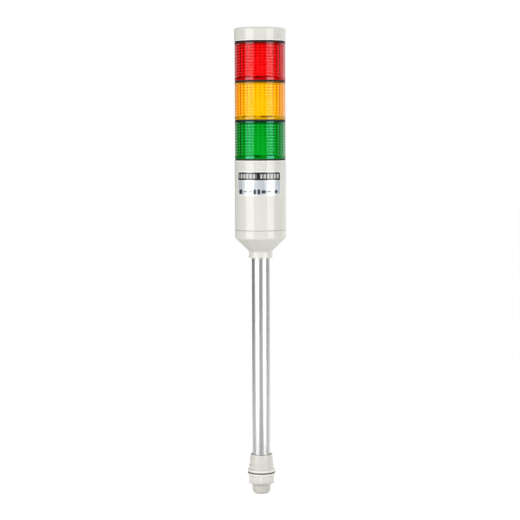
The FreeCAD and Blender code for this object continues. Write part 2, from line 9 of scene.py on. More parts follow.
import bmesh
import bpy
from mathutils import Euler, Matrix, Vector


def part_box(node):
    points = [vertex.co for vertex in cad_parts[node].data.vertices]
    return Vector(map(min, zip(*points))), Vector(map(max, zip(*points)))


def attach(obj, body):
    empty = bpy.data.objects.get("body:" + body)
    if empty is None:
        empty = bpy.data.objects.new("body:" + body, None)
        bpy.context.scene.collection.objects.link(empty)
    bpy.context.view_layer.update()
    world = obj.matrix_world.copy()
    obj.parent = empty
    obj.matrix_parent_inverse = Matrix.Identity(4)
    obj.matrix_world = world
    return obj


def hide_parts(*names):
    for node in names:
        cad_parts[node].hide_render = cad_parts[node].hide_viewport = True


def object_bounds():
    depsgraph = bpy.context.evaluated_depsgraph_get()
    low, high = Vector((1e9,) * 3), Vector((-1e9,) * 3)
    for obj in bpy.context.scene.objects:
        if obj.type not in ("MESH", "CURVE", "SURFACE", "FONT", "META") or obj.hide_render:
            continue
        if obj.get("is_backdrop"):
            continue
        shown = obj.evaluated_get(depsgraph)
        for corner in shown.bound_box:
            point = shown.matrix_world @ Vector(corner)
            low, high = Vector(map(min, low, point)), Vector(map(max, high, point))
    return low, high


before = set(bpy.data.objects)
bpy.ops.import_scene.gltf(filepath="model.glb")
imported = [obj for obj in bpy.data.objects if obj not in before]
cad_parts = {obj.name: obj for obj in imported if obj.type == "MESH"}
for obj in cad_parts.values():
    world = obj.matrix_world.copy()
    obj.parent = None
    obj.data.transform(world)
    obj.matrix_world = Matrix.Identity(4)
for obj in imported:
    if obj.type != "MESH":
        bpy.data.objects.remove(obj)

MM = 0.001
ROUND_STEPS = 144
SMOOTH_ANGLE = math.radians(32)
SHARP_ANGLE = math.radians(25)
FLAT_ANGLE = math.radians(1.0)
CORNER_STEPS = 4
EDGE_STEPS = 3
TURN_WELD = 0.000001
CAD_WELD = 0.000002
THREAD_WELD = 0.000004
CUT_REACH = 0.0000001

WALL = 2.4 * MM
LIP_OUT = 0.25 * MM
LIP_H = 1.2 * MM
SEAM_EDGE = 0.4 * MM
NECK_RISE = 13.0 * MM
RIB_PITCH = 3.05 * MM
RIB_TOP_BAND = 1.4 * MM
FLUTES = 36
log = logging.getLogger("stack_light")

Corner = tuple[float, float, float]
Colour = tuple[float, float, float]
Node = bpy.types.Node
Socket = bpy.types.NodeSocket
Tree = bpy.types.NodeTree
Material = bpy.types.Material
Mesh = bmesh.types.BMesh


def from_screen(red: int, green: int, blue: int) -> Colour:
    """Linear colour for three screen values between 0 and 255.

    Args:
        red: Red value.
        green: Green value.
        blue: Blue value.

    Returns:
        The linear colour.
    """
    linear = []
    for value in (red, green, blue):
        share = value / 255
        linear.append(share / 12.92 if share <= 0.04045 else ((share + 0.055) / 1.055) ** 2.4)
    return tuple(linear)


def rgba(colour: Colour) -> tuple[float, float, float, float]:
    """Colour with full opacity, as shader sockets take it."""
    return (*colour, 1.0)


def grey(level: float) -> tuple[float, float, float, float]:
    """Neutral linear grey with full opacity."""
    return (level, level, level, 1.0)


# ---------------------------------------------------------------- shader building
class NodeBoard:
    """A node tree with short ways to place and join nodes."""

    def __init__(self, tree: Tree) -> None:
        """Take the material's, world's or group's tree that nodes are placed in."""
        self.tree = tree

    def place(self, kind: str, **values: object) -> Node:
        """Place a node and set its sockets.

        Args:
            kind: Blender's type name of the node.
            values: Attribute values, or socket values and links under the socket's name
                with spaces written as underscores.

        Returns:
            The new node.
        """
        node = self.tree.nodes.new(kind)
        for key, value in values.items():
            if hasattr(node, key) and key not in ("inputs", "Color", "Vector"):
                setattr(node, key, value)
            else:
                self.feed(node.inputs[key.replace("_", " ")], value)
        return node

    def feed(self, socket: Socket, value: object) -> None:
        """Link a socket to an output, or give it a plain value.

        Args:
            socket: The socket to set.
            value: An output or a plain value.
        """
        if isinstance(value, Socket):
            self.tree.links.new(value, socket)
        else:
            socket.default_value = value

    def fill(self, node: Node, *values: object) -> Node:
        """Feed a node's first sockets in order and return the node.

        Args:
            node: The node.
            values: Values or outputs, in the order of its sockets.

        Returns:
            The same node.
        """
        for socket, value in zip(node.inputs, values):
            self.feed(socket, value)
        return node

    def maths(self, operation: str, first: object, second: object = 0.0, third: object = 0.0) -> Socket:
        """Work out one of Blender's math operations on one to three numbers or outputs."""
        return self.fill(self.place("ShaderNodeMath", operation=operation), first, second, third).outputs[0]

    def times(self, first: object, second: object) -> Socket:
        """Product of two numbers or outputs."""
        return self.maths("MULTIPLY", first, second)

    def larger(self, first: object, second: object) -> Socket:
        """Larger of two numbers or outputs."""
        return self.maths("MAXIMUM", first, second)

    def blend(self, share: object, first: object, second: object) -> Socket:
        """Mix two colours by a share from 0 to 1 and return the result.

        Args:
            share: Share of the second colour.
            first: Colour at share 0.
            second: Colour at share 1.

        Returns:
            The mixed colour.
        """
        node = self.place("ShaderNodeMix", data_type="RGBA")
        for index, value in ((0, share), (6, first), (7, second)):
            self.feed(node.inputs[index], value)
        return node.outputs[2]

    def span(
        self, value: object, low: float, high: float, to_low: float = 0.0, to_high: float = 1.0
    ) -> Socket:
        """Map a value from one range to another with smooth ends.

        Args:
            value: The number or output to map.
            low: Start of the range that is read.
            high: End of the range that is read.
            to_low: Result at and below the start.
            to_high: Result at and above the end.

        Returns:
            The mapped output.
        """
        node = self.place("ShaderNodeMapRange", interpolation_type="SMOOTHSTEP")
        return self.fill(node, value, low, high, to_low, to_high).outputs[0]

    def band(self, value: object, low: float, high: float, edge: float) -> Socket:
        """Mask that is 1 between two values and falls to 0 over the edge width outside them."""
        rise = self.span(value, low - edge, low + edge)
        return self.times(rise, self.span(value, high - edge, high + edge, 1.0, 0.0))

    def clamp(self, value: Socket) -> Socket:
        """Value kept between 0 and 1."""
        return self.fill(self.place("ShaderNodeClamp"), value).outputs[0]

    def axes(self, vector: Socket) -> tuple[Socket, ...]:
        """The three numbers of a vector."""
        return tuple(self.fill(self.place("ShaderNodeSeparateXYZ"), vector).outputs)

    def noise(self, vector: Socket, scale: object, detail: float, **values: float) -> Socket:
        """Value of a noise texture."""
        node = self.place("ShaderNodeTexNoise", Vector=vector, Scale=scale, Detail=detail, **values)
        return node.outputs[0]


Given = bpy.types.bpy_prop_collection
Filler = Callable[[NodeBoard, Given], tuple[Socket, ...]]


def shared_group(name: str, inputs: dict[str, float], outputs: tuple[str, ...], filler: Filler) -> Tree:
    """Find a shader group, or make it.

    Args:
        name: The group's name.
        inputs: Default of each number input by its name. A position comes before them.
        outputs: Names of the number outputs.
        filler: Places the nodes between the group's inputs and its outputs.

    Returns:
        The group.
    """
    if name in bpy.data.node_groups:
        return bpy.data.node_groups[name]
    tree = bpy.data.node_groups.new(name, "ShaderNodeTree")
    tree.interface.new_socket("Position", in_out="INPUT", socket_type="NodeSocketVector")
    for label, default in inputs.items():
        socket = tree.interface.new_socket(label, in_out="INPUT", socket_type="NodeSocketFloat")
        socket.default_value = default
    for label in outputs:
        tree.interface.new_socket(label, in_out="OUTPUT", socket_type="NodeSocketFloat")
    board = NodeBoard(tree)
    given = board.place("NodeGroupInput").outputs
    board.fill(board.place("NodeGroupOutput"), *filler(board, given))
    return tree


def fill_moulding(board: NodeBoard, given: Given) -> tuple[Socket, ...]:
    """Slow flow waves with fine grain, and a cloudy tone.

    Args:
        board: Board that nodes are placed on.
        given: The group's inputs.

    Returns:
        Height and tone.
    """
    grain = board.noise(given["Position"], given["Grain Scale"], 2.0)
    wave = board.noise(given["Position"], given["Wave Scale"], 1.0)
    cloud = board.noise(given["Position"], 24.0, 4.0, Roughness=0.6)
    return board.maths("MULTIPLY_ADD", grain, 0.35, wave), board.span(cloud, 0.3, 0.7)


def moulding_group() -> Tree:
    """Moulded surface."""
    inputs = {"Grain Scale": 900.0, "Wave Scale": 60.0}
    return shared_group("moulded_surface", inputs, ("Height", "Tone"), fill_moulding)


def fill_drawn_metal(board: NodeBoard, given: Given) -> tuple[Socket, ...]:
    """Lines along the height or around it, and a tone that follows them.

    Args:
        board: Board that nodes are placed on.
        given: The group's inputs.

    Returns:
        Height and tone.
    """
    around = given["Lines Around"]
    stretch = board.fill(board.place("ShaderNodeCombineXYZ"), around, around, given["Lines Along"])
    scaled = board.place("ShaderNodeVectorMath", operation="MULTIPLY")
    board.fill(scaled, given["Position"], stretch.outputs[0])
    lines = board.noise(scaled.outputs[0], 1.0, 3.0)
    return lines, board.span(lines, 0.35, 0.65)


def drawn_metal_group() -> Tree:
    """Drawn or turned metal."""
    inputs = {"Lines Around": 1500.0, "Lines Along": 14.0}
    return shared_group("drawn_metal", inputs, ("Height", "Tone"), fill_drawn_metal)


def fill_worn_and_highlit_edge(board: NodeBoard, given: Given) -> tuple[Socket, ...]:
    """Mask of convex edges, broken up as handling rubs them, for edge wear and for painted highlight along
    the edges.

    Args:
        board: Board that nodes are placed on.
        given: The group's inputs.

    Returns:
        The mask.
    """
    shape = board.place("ShaderNodeNewGeometry")
    ratio = board.maths("DIVIDE", board.maths("SUBTRACT", shape.outputs["Pointiness"], 0.5), given["Reach"])
    patches = board.span(board.noise(given["Position"], 180.0, 3.0), 0.35, 0.6, 0.45, 1.0)
    return (board.clamp(board.times(ratio, patches)),)


def worn_and_highlit_edge_group() -> Tree:
    """Convex edges, worn, and with painted highlight on moulded plastic."""
    return shared_group("worn_and_highlit_edge", {"Reach": 0.06}, ("Mask",), fill_worn_and_highlit_edge)


def fill_dust(board: NodeBoard, given: Given) -> tuple[Socket, ...]:
    """Mask of fine dust on faces that look up.

    Args:
        board: Board that nodes are placed on.
        given: The group's inputs.

    Returns:
        The mask.
    """
    facing_up = board.span(board.axes(board.place("ShaderNodeNewGeometry").outputs["Normal"])[2], 0.4, 0.95)
    specks = board.span(board.noise(given["Position"], 420.0, 4.0), 0.4, 0.7)
    return (board.times(board.times(facing_up, specks), given["Amount"]),)


def dust_group() -> Tree:
    """Settled dust."""
    return shared_group("settled_dust", {"Amount": 0.3}, ("Mask",), fill_dust)


class FinishSheet:
    """A material under construction, with its position, its board and its main shader."""

    def __init__(self, name: str) -> None:
        """Start the material of the given name.

        Args:
            name: The material's name.
        """
        self.material = bpy.data.materials.new(name)
        self.material.use_nodes = True
        self.board = NodeBoard(self.material.node_tree)
        self.shader = self.material.node_tree.nodes["Principled BSDF"]
        self.position = self.board.place("ShaderNodeTexCoord").outputs["Object"]

    def group(self, tree: Tree, **values: object) -> Node:
        """Place a shared group, fed with the position and its own values.

        Args:
            tree: The shared group.
            values: Values of its inputs, by name.

        Returns:
            The group's node.
        """
        node = self.material.node_tree.nodes.new("ShaderNodeGroup")
        node.node_tree = tree
        self.board.feed(node.inputs["Position"], self.position)
        for key, value in values.items():
            self.board.feed(node.inputs[key.replace("_", " ")], value)
        return node

    def relief(self, height: Socket, depth: float, strength: float = 1.0) -> None:
        """Feed the shader's normal with a bump of the given depth in metres."""
        bump = self.board.place("ShaderNodeBump", Strength=strength, Distance=depth, Height=height)
        self.board.feed(self.shader.inputs["Normal"], bump.outputs[0])

    def satin(self, group: Node, low: float, high: float) -> Socket:
        """Roughness from one value to another, as a group's tone goes."""
        return self.board.span(group.outputs["Tone"], 0.0, 1.0, low, high)

    def set(self, **values: object) -> None:
        """Set the main shader's sockets by name, with spaces written as underscores."""
        for key, value in values.items():
            self.board.feed(self.shader.inputs[key.replace("_", " ")], value)


# ---------------------------------------------------------------- finishes
@dataclass(frozen=True)
class Finish:
    """What every finish has.

    Args:
        name: The material's name.
    """

    name: str

    def build(self) -> Material:
        """Make the material.

        Returns:
            The material.
        """
        sheet = FinishSheet(self.name)
        self.paint(sheet, sheet.board)
        return sheet.material

    def paint(self, sheet: FinishSheet, board: NodeBoard) -> None:
        """Set the material up on its sheet."""
        raise NotImplementedError


@dataclass(frozen=True)
class MouldedPlastic(Finish):
    """Opaque moulded plastic with a faint cloudy tone, grain, paler edges from wear and painted highlight,
    dust, and bands of painted light and shade.

    Args:
        colour: Body colour.
        shade: Colour of the darker clouds.
        roughness: Middle roughness.
        grain: Depth of the surface relief in metres.
        coat: Weight of the glossy skin.
        dust: Amount of dust on faces that look up.
        edge_gain: How much paler the edges are, from wear and painted highlight.
        rings: Lower and upper height of each band of painted highlight, painted light or painted shade, and
            its colour.
    """

    colour: Colour
    shade: Colour
    roughness: float = 0.3
    grain: float = 0.00001
    coat: float = 0.0
    dust: float = 0.1
    edge_gain: float = 1.08
    rings: tuple[tuple[float, float, Colour], ...] = ()

    def paint(self, sheet: FinishSheet, board: NodeBoard) -> None:
        """Set the material up on its sheet.

        Args:
            sheet: The material under construction.
            board: Its board.
        """
        surface = sheet.group(moulding_group())
        clouded = board.blend(board.times(surface.outputs["Tone"], 0.5), rgba(self.colour), rgba(self.shade))
        # Convex edges go paler: edge wear, and painted highlight lines along the rounded edges.
        edge = sheet.group(worn_and_highlit_edge_group())
        lighter = tuple(min(1.0, value * self.edge_gain + 0.01) for value in self.colour)
        worn_and_highlit = board.blend(board.times(edge.outputs["Mask"], 0.85), clouded, rgba(lighter))
        dust = sheet.group(dust_group(), Amount=self.dust)
        face = board.blend(dust.outputs["Mask"], worn_and_highlit, rgba(from_screen(205, 202, 194)))
        # Bands at given heights take their own colour: painted highlight lines, painted shade in a seam and
        # painted light on the stem.
        if self.rings:
            up = board.axes(sheet.position)[2]
            for low, high, tone in self.rings:
                face = board.blend(board.band(up, low, high, 0.15 * MM), face, rgba(tone))
        sheet.set(
            Base_Color=face,
            Roughness=sheet.satin(surface, self.roughness - 0.04, self.roughness + 0.05),
            Coat_Weight=self.coat,
            Coat_Roughness=0.08,
            Coat_IOR=1.6,
        )
        sheet.relief(surface.outputs["Height"], self.grain, 0.35)


@dataclass(frozen=True)
class TintedLens(Finish):
    """Clear tinted polycarbonate with ribs outside and flutes inside, with painted shade and a painted glow.

    Args:
        colour: Colour of the lens seen straight on.
        deep: Colour of the painted shade along the flutes, in the rib valleys and towards the sides.
        dark: Colour of the painted shade in the bands at the seals, where no light gets in.
        low: Height of the lens's foot.
        high: Height of its top.
        top_band: Plain band above the first groove.
        pitch: Height of one rib.
        flutes: Number of flutes around the inside.
        clear: Share of the light that passes straight through.
        glow: Strength of the painted glow in the body's colour, standing in for daylight from behind that
            the walls scatter forward.
        crown: Strength of the painted shade just under the seal.
        polish: Strength of the reflection in the tinted plastic.
        coat: Weight of the untinted reflection on its skin.
        sheen: Tint that the plastic gives to its own reflection.
    """

    colour: Colour
    deep: Colour
    dark: Colour
    low: float
    high: float
    top_band: float = RIB_TOP_BAND
    pitch: float = RIB_PITCH
    flutes: int = FLUTES
    clear: float = 0.05
    glow: float = 0.08
    crown: float = 0.55
    polish: float = 0.45
    coat: float = 0.45
    sheen: Colour = (1.0, 1.0, 1.0)

    def paint(self, sheet: FinishSheet, board: NodeBoard) -> None:
        """Set the material up on its sheet.

        Args:
            sheet: The material under construction.
            board: Its board.
        """
        # Painted shade along the lines of the inside flutes, stronger towards the sides, where the surface
        # turns away from view.
        right, back, up = board.axes(sheet.position)
        turn = board.maths("ARCTAN2", right, back)
        wave = board.maths("COSINE", board.times(turn, float(self.flutes)))
        fluted = board.band(up, self.low + 4.6 * MM, self.high - 2.4 * MM, 0.3 * MM)
        line = board.times(board.span(wave, 0.1, 0.95), fluted)
        slant = board.place("ShaderNodeLayerWeight", Blend=0.5).outputs["Facing"]
        side = board.span(slant, 0.1, 0.5)

        # Painted shade as dark dashes in the rib valleys, in the upper part of the lens and strongest where
        # they cross the flute lines.
        level = board.maths("SUBTRACT", self.high - self.top_band, up)
        rib = board.maths("COSINE", board.times(level, math.tau / self.pitch))
        valley = board.span(rib, -0.2, -0.95)
        fade = board.span(up, self.low + 0.35 * (self.high - self.low), self.high - 4.0 * MM)
        crossing = board.maths("MULTIPLY_ADD", line, 0.6, 0.15)
        dash = board.times(valley, board.maths("MULTIPLY_ADD", fade, crossing, 0.04))

        # Sum of the painted shade from flutes, sides and valleys, with a little cloudy tone, mixing the
        # colour towards the shade colour.
        depth = board.times(line, board.maths("MULTIPLY_ADD", side, 0.85, 0.16))
        depth = board.maths("ADD", depth, board.times(side, 0.22))
        depth = board.maths("ADD", depth, dash)
        surface = sheet.group(moulding_group(), Grain_Scale=700.0, Wave_Scale=45.0)
        depth = board.maths("MULTIPLY_ADD", surface.outputs["Tone"], 0.06, depth)
        tinted = board.blend(board.clamp(depth), rgba(self.colour), rgba(self.deep))

        # Painted shade at the ends: dark just under the seal at the top, a patchy dark band and a darker
        # foot near the bottom.
        crown = board.times(board.span(up, self.high - 4.6 * MM, self.high - 1.5 * MM), self.crown)
        crown = board.larger(crown, board.span(up, self.high - 2.0 * MM, self.high - 1.3 * MM, 0.0, 0.9))
        spots = board.span(board.noise(sheet.position, 150.0, 1.0), 0.36, 0.66, 0.35, 0.85)
        step = board.times(board.band(up, self.low + 1.9 * MM, self.low + 4.2 * MM, 0.4 * MM), spots)
        foot = board.span(up, self.low + 3.0 * MM, self.low + 4.0 * MM, 0.4, 0.0)
        ends = board.larger(crown, board.larger(step, foot))
        body = board.blend(ends, tinted, rgba(self.dark))
        # The emission is a painted glow in the body's own colour; the lens is no lamp.
        sheet.set(
            Base_Color=body,
            Roughness=sheet.satin(surface, 0.09, 0.14),
            Transmission_Weight=self.clear,
            IOR=1.58,
            Specular_IOR_Level=self.polish,
            Specular_Tint=rgba(self.sheen),
            Coat_Weight=self.coat,
            Coat_Roughness=0.06,
            Emission_Color=body,
            Emission_Strength=self.glow,
        )
        sheet.relief(surface.outputs["Height"], 0.000015, 0.3)


@dataclass(frozen=True)
class Rubber(Finish):
    """Matt rubber with a dusty bloom.

    Args:
        colour: Body colour.
        bloom: Colour of the worn, dusty patches.
    """

    colour: Colour
    bloom: Colour

    def paint(self, sheet: FinishSheet, board: NodeBoard) -> None:
        """Set the material up on its sheet.

        Args:
            sheet: The material under construction.
            board: Its board.
        """
        surface = sheet.group(moulding_group(), Grain_Scale=1600.0, Wave_Scale=300.0)
        share = board.times(surface.outputs["Tone"], 0.4)
        sheet.set(
            Base_Color=board.blend(share, rgba(self.colour), rgba(self.bloom)),
            Roughness=sheet.satin(surface, 0.6, 0.8),
        )
        sheet.relief(surface.outputs["Height"], 0.00003, 0.6)


@dataclass(frozen=True)
class BareMetal(Finish):
    """Drawn, turned or plated metal.

    Args:
        colour: Colour of the bright lines.
        shade: Colour of the dull lines.
        roughness: Middle roughness.
        around: How close the lines lie around the piece.
        along: How close they lie along its height.
        relief: Depth of the lines in metres.
        metallic: Share of bare metal against the satin oxide skin.
    """

    colour: Colour
    shade: Colour
    roughness: float = 0.3
    around: float = 1500.0
    along: float = 14.0
    relief: float = 0.000004
    metallic: float = 1.0

    def paint(self, sheet: FinishSheet, board: NodeBoard) -> None:
        """Set the material up on its sheet.

        Args:
            sheet: The material under construction.
            board: Its board.
        """
        lines = sheet.group(drawn_metal_group(), Lines_Around=self.around, Lines_Along=self.along)
        edge = sheet.group(worn_and_highlit_edge_group())
        toned = board.blend(lines.outputs["Tone"], rgba(self.shade), rgba(self.colour))
        sheet.set(
            Base_Color=board.blend(board.times(edge.outputs["Mask"], 0.5), toned, rgba((0.92, 0.92, 0.91))),
            Metallic=self.metallic,
            Roughness=sheet.satin(lines, self.roughness + 0.05, self.roughness - 0.05),
        )
        sheet.relief(lines.outputs["Height"], self.relief, 0.5)


@dataclass(frozen=True)
class CircuitBoard(Finish):
    """Board lacquer over copper tracks.

    Args:
        colour: Colour of the lacquer.
        track: Colour over the tracks.
    """

    colour: Colour
    track: Colour

    def paint(self, sheet: FinishSheet, board: NodeBoard) -> None:
        """Set the material up on its sheet.

        Args:
            sheet: The material under construction.
            board: Its board.
        """
        cells = board.place(
            "ShaderNodeTexVoronoi", Vector=sheet.position, Scale=260.0, feature="DISTANCE_TO_EDGE"
        )
        gap = board.span(cells.outputs["Distance"], 0.03, 0.08, 1.0, 0.0)
        surface = sheet.group(moulding_group())
        tracked = board.blend(gap, rgba(self.track), rgba(self.colour))
        sheet.set(Base_Color=tracked, Roughness=sheet.satin(surface, 0.3, 0.45))
        sheet.relief(board.maths("SUBTRACT", 1.0, gap), 0.00003, 0.5)


@dataclass(frozen=True)
class LedPackage(Finish):
    """White case of an LED around a dome of yellow phosphor.

    Args:
        case: Colour of the case.
        dome: Colour of the phosphor.
        dome_low: Distance from the axis where the domes start.
        dome_high: Distance from the axis where they end.
    """

    case: Colour
    dome: Colour
    dome_low: float = 0.01345
    dome_high: float = 0.01365

    def paint(self, sheet: FinishSheet, board: NodeBoard) -> None:
        """Set the material up on its sheet.

        Args:
            sheet: The material under construction.
            board: Its board.
        """
        right, back, _ = board.axes(sheet.position)
        squares = [board.maths("POWER", leg, 2.0) for leg in (right, back)]
        away = board.maths("SQRT", board.maths("ADD", *squares))
        domed = board.band(away, self.dome_low, self.dome_high, 0.00005)
        surface = sheet.group(moulding_group())
        sheet.set(
            Base_Color=board.blend(domed, rgba(self.case), rgba(self.dome)),
            Roughness=sheet.satin(surface, 0.25, 0.4),
        )
        sheet.relief(surface.outputs["Height"], 0.00001, 0.4)


@dataclass(frozen=True)
class LabelPlan:
    """Where things lie on the label, and its shapes as masks.

    Args:
        board: The board that nodes are placed on.
        across: Distance around the label from its front.
        up: Height.
        start: Left side of the header.
        stop: Right side of the header.
        top: Upper edge of the header.
    """

    board: NodeBoard
    across: Socket
    up: Socket
    start: float
    stop: float
    top: float

    def panel(self, sides: tuple[float, float], ends: tuple[float, float], corner: float) -> Socket:
        """Rectangle between two sides and two ends, with corners of the given radius.

        Args:
            sides: Left and right side.
            ends: Lower and upper end.
            corner: Radius of the corners.

        Returns:
            The mask.
        """
        board = self.board
        squares = []
        for value, (low, high) in ((self.across, sides), (self.up, ends)):
            away = board.maths("ABSOLUTE", board.maths("SUBTRACT", value, (low + high) / 2))
            leg = board.larger(board.maths("SUBTRACT", away, (high - low) / 2 - corner), 0.0)
            squares.append(board.times(leg, leg))
        distance = board.maths("SQRT", board.maths("ADD", *squares))
        return board.span(distance, corner - 0.06 * MM, corner + 0.06 * MM, 1.0, 0.0)

    def blocks(self, header: float) -> Socket:
        """Two groups of plain upright blocks in a header of the given height.

        Args:
            header: Height of the header.

        Returns:
            The mask.
        """
        board, pitch, edge = self.board, 3.9 * MM, 0.06 * MM
        from_start = board.maths("SUBTRACT", self.across, self.start - 100 * pitch)
        block = board.span(board.maths("PINGPONG", from_start, pitch / 2), 0.5 * MM, 0.62 * MM)
        rows = board.band(self.up, self.top - header + 1.9 * MM, self.top - 1.9 * MM, edge)
        middle = (self.start + self.stop) / 2
        first = board.band(self.across, self.start + pitch / 2, middle - pitch / 2, edge)
        second = board.band(self.across, middle + pitch / 2, self.stop - pitch / 2, edge)
        return board.times(block, board.times(rows, board.larger(first, second)))

    def marks(self, middle: float) -> Socket:
        """Plain spots and bars around a height low on the field.

        Args:
            middle: Height of the marks' middle.

        Returns:
            The mask.
        """
        mask = None
        for place, half_w, half_h, corner in (
            (4.4, 2.7, 2.7, 2.6), (11.0, 2.4, 0.5, 0.4), (17.0, 1.8, 0.5, 0.4), (22.2, 1.5, 2.8, 1.4),
            (26.6, 1.5, 2.8, 1.4), (32.0, 2.4, 1.7, 1.4), (38.0, 2.6, 0.5, 0.4), (46.6, 1.9, 2.0, 1.8),
        ):
            x = self.start + place * MM
            sides = (x - half_w * MM, x + half_w * MM)
            spot = self.panel(sides, (middle - half_h * MM, middle + half_h * MM), corner * MM)
            mask = spot if mask is None else self.board.larger(mask, spot)
        return mask


@dataclass(frozen=True)
class PrintedFoil(Finish):
    """Silver foil label: white border, black header with plain blocks, and plain marks low on the field.

    Args:
        radius: Radius of the label's face.
        low: Height of its lower edge.
        high: Height of its upper edge.
        left: Angle from the front to its left end, in degrees.
        right: Angle from the front to its right end, in degrees.
        border: Width of the white border.
        header: Height of the black header.
    """

    radius: float
    low: float
    high: float
    left: float = -59.7
    right: float = 50.7
    border: float = 0.95 * MM
    header: float = 8.5 * MM

    def paint(self, sheet: FinishSheet, board: NodeBoard) -> None:
        """Set the material up on its sheet.

        Args:
            sheet: The material under construction.
            board: Its board.
        """
        right, back, up = board.axes(sheet.position)
        turn = board.maths("ARCTAN2", right, board.times(back, -1.0))
        start = math.radians(self.left) * self.radius + self.border
        stop = math.radians(self.right) * self.radius - self.border
        top = self.high - self.border
        line = top - self.header
        plan = LabelPlan(board, board.times(turn, self.radius), up, start, stop, top)
        inside = plan.panel((start, stop), (self.low + 0.7 * MM, top), 2.2 * MM)
        band = board.times(board.span(up, line - 0.05 * MM, line + 0.05 * MM), inside)
        under = board.band(up, line - 1.0 * MM, line, 0.15 * MM)
        printed = board.times(plan.marks(self.low + 4.5 * MM), inside)
        brushed = sheet.group(drawn_metal_group(), Lines_Around=1200.0, Lines_Along=90.0)
        dull, bright = from_screen(222, 230, 236), from_screen(230, 237, 242)
        foil = board.blend(brushed.outputs["Tone"], rgba(dull), rgba(bright))
        face = board.blend(board.times(under, 0.8), foil, rgba(from_screen(250, 250, 250)))
        face = board.blend(inside, rgba(from_screen(254, 254, 252)), face)
        face = board.blend(printed, face, rgba(from_screen(48, 52, 60)))
        face = board.blend(band, face, rgba(from_screen(10, 10, 11)))
        inked = board.larger(band, printed)
        bare = board.times(inside, board.maths("SUBTRACT", 1.0, inked))
        sheet.set(
            Base_Color=board.blend(plan.blocks(self.header), face, rgba(from_screen(196, 196, 194))),
            Metallic=board.times(bare, 0.45),
            Roughness=sheet.satin(brushed, 0.38, 0.46),
            Specular_IOR_Level=0.8,
            Coat_Weight=1.0,
            Coat_Roughness=0.06,
        )
        sheet.relief(inked, 0.00001, 0.4)


# ---------------------------------------------------------------- mesh work
def soften(mesh: Mesh, parts: list, width: float, segments: int, affect: str) -> None:
    """Round corners or edges of a mesh over a width.

    Args:
        mesh: The mesh.
        parts: Its corners or edges.
        width: Width of the rounding.
        segments: Number of steps in the rounding.
        affect: VERTICES or EDGES.
    """
    bmesh.ops.bevel(
        mesh, geom=parts, offset=width, offset_type="OFFSET", segments=segments,
        profile=0.5, affect=affect, material=-1, clamp_overlap=True,
    )


def radius_of(vert: bmesh.types.BMVert) -> float:
    """Distance of a vertex from the axis."""
    return math.hypot(vert.co.x, vert.co.y)


def move_to_radius(vert: bmesh.types.BMVert, wanted: float) -> None:
    """Move a vertex straight in or out to a radius about the axis.

    Args:
        vert: The vertex.
        wanted: The radius.
    """
    share = wanted / radius_of(vert)
    vert.co.x *= share
    vert.co.y *= share


class Bench:
    """Makes meshes around the light's axis and puts them on the light's bodies."""

    def turn(self, outline: list[Corner], steps: int = ROUND_STEPS) -> Mesh:
        """Spin a closed outline a full turn about the axis.

        Args:
            outline: Corners as radius, height and rounding.
            steps: Number of steps in the turn.

        Returns:
            The closed mesh.
        """
        mesh = self.rounded_outline(outline)
        bmesh.ops.delete(mesh, geom=list(mesh.faces), context="FACES_ONLY")
        bmesh.ops.spin(
            mesh, geom=list(mesh.verts) + list(mesh.edges), cent=(0, 0, 0), axis=(0, 0, 1),
            angle=math.tau, steps=steps, use_merge=True, use_duplicate=False,
        )
        bmesh.ops.remove_doubles(mesh, verts=list(mesh.verts), dist=TURN_WELD)
        bmesh.ops.recalc_face_normals(mesh, faces=list(mesh.faces))
        return mesh

    def rounded_outline(self, outline: list[Corner]) -> Mesh:
        """Flat face in the front-right plane, from corners as radius, height and rounding.

        Args:
            outline: Corners as radius, height and rounding.

        Returns:
            The mesh of one face.
        """
        mesh = bmesh.new()
        corners = [mesh.verts.new((radius, 0.0, height)) for radius, height, _ in outline]
        mesh.faces.new(corners)
        for corner, (_, _, rounding) in zip(corners, outline):
            if rounding > 0:
                soften(mesh, [corner], rounding, CORNER_STEPS, "VERTICES")
        return mesh

    def carry_over(self, node: str, rounding: float = 0.0) -> Mesh:
        """Merged copy of a CAD node, with its sharp edges rounded if asked.

        Args:
            node: The CAD node's name.
            rounding: Width of the edge rounding in metres.

        Returns:
            The mesh.
        """
        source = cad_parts[node]
        mesh = bmesh.new()
        mesh.from_mesh(source.data)
        bmesh.ops.transform(mesh, matrix=source.matrix_world, verts=list(mesh.verts))
        bmesh.ops.remove_doubles(mesh, verts=list(mesh.verts), dist=CAD_WELD)
        bmesh.ops.dissolve_limit(
            mesh, angle_limit=FLAT_ANGLE, verts=list(mesh.verts), edges=list(mesh.edges)
        )
        if rounding > 0:
            inner = [edge for edge in mesh.edges if len(edge.link_faces) == 2]
            sharp = [edge for edge in inner if edge.calc_face_angle() > SHARP_ANGLE]
            soften(mesh, sharp, rounding, EDGE_STEPS, "EDGES")
        return mesh

    def finish(
        self, mesh: Mesh, name: str, body: str, slot: str, nodes: tuple[str, ...], material: Material
    ) -> None:
        """Turn a mesh into a finished piece on a body.

        Args:
            mesh: The mesh, which is freed.
            name: The piece's name.
            body: The body that it rides on.
            slot: The record's material slot; not used.
            nodes: CAD nodes that it stands for.
            material: Its material.
        """
        data = bpy.data.meshes.new(name)
        for face in mesh.faces:
            face.smooth = True
        mesh.to_mesh(data)
        mesh.free()
        data.set_sharp_from_angle(angle=SMOOTH_ANGLE)
        data.materials.append(material)
        piece = bpy.data.objects.new(name, data)
        bpy.context.scene.collection.objects.link(piece)
        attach(piece, body)
        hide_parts(*nodes)
        log.info("%s: %d faces", name, len(data.polygons))

    def dress(self, node: str, material: Material) -> None:
        """Give a CAD node that stays in sight its material.

        Args:
            node: The CAD node's name.
            material: Its material.
        """
        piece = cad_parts[node]
        piece.data.materials.clear()
        piece.data.materials.append(material)
        log.info("%s: CAD node in %s", node, material.name)


def levels(node: str) -> tuple[float, float]:
    """Lowest and highest point of a CAD node."""
    low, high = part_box(node)
    return low.z, high.z


def reach(node: str) -> float:
    """Outside radius of a round CAD node."""
    low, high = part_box(node)
    return (high.y - low.y) / 2


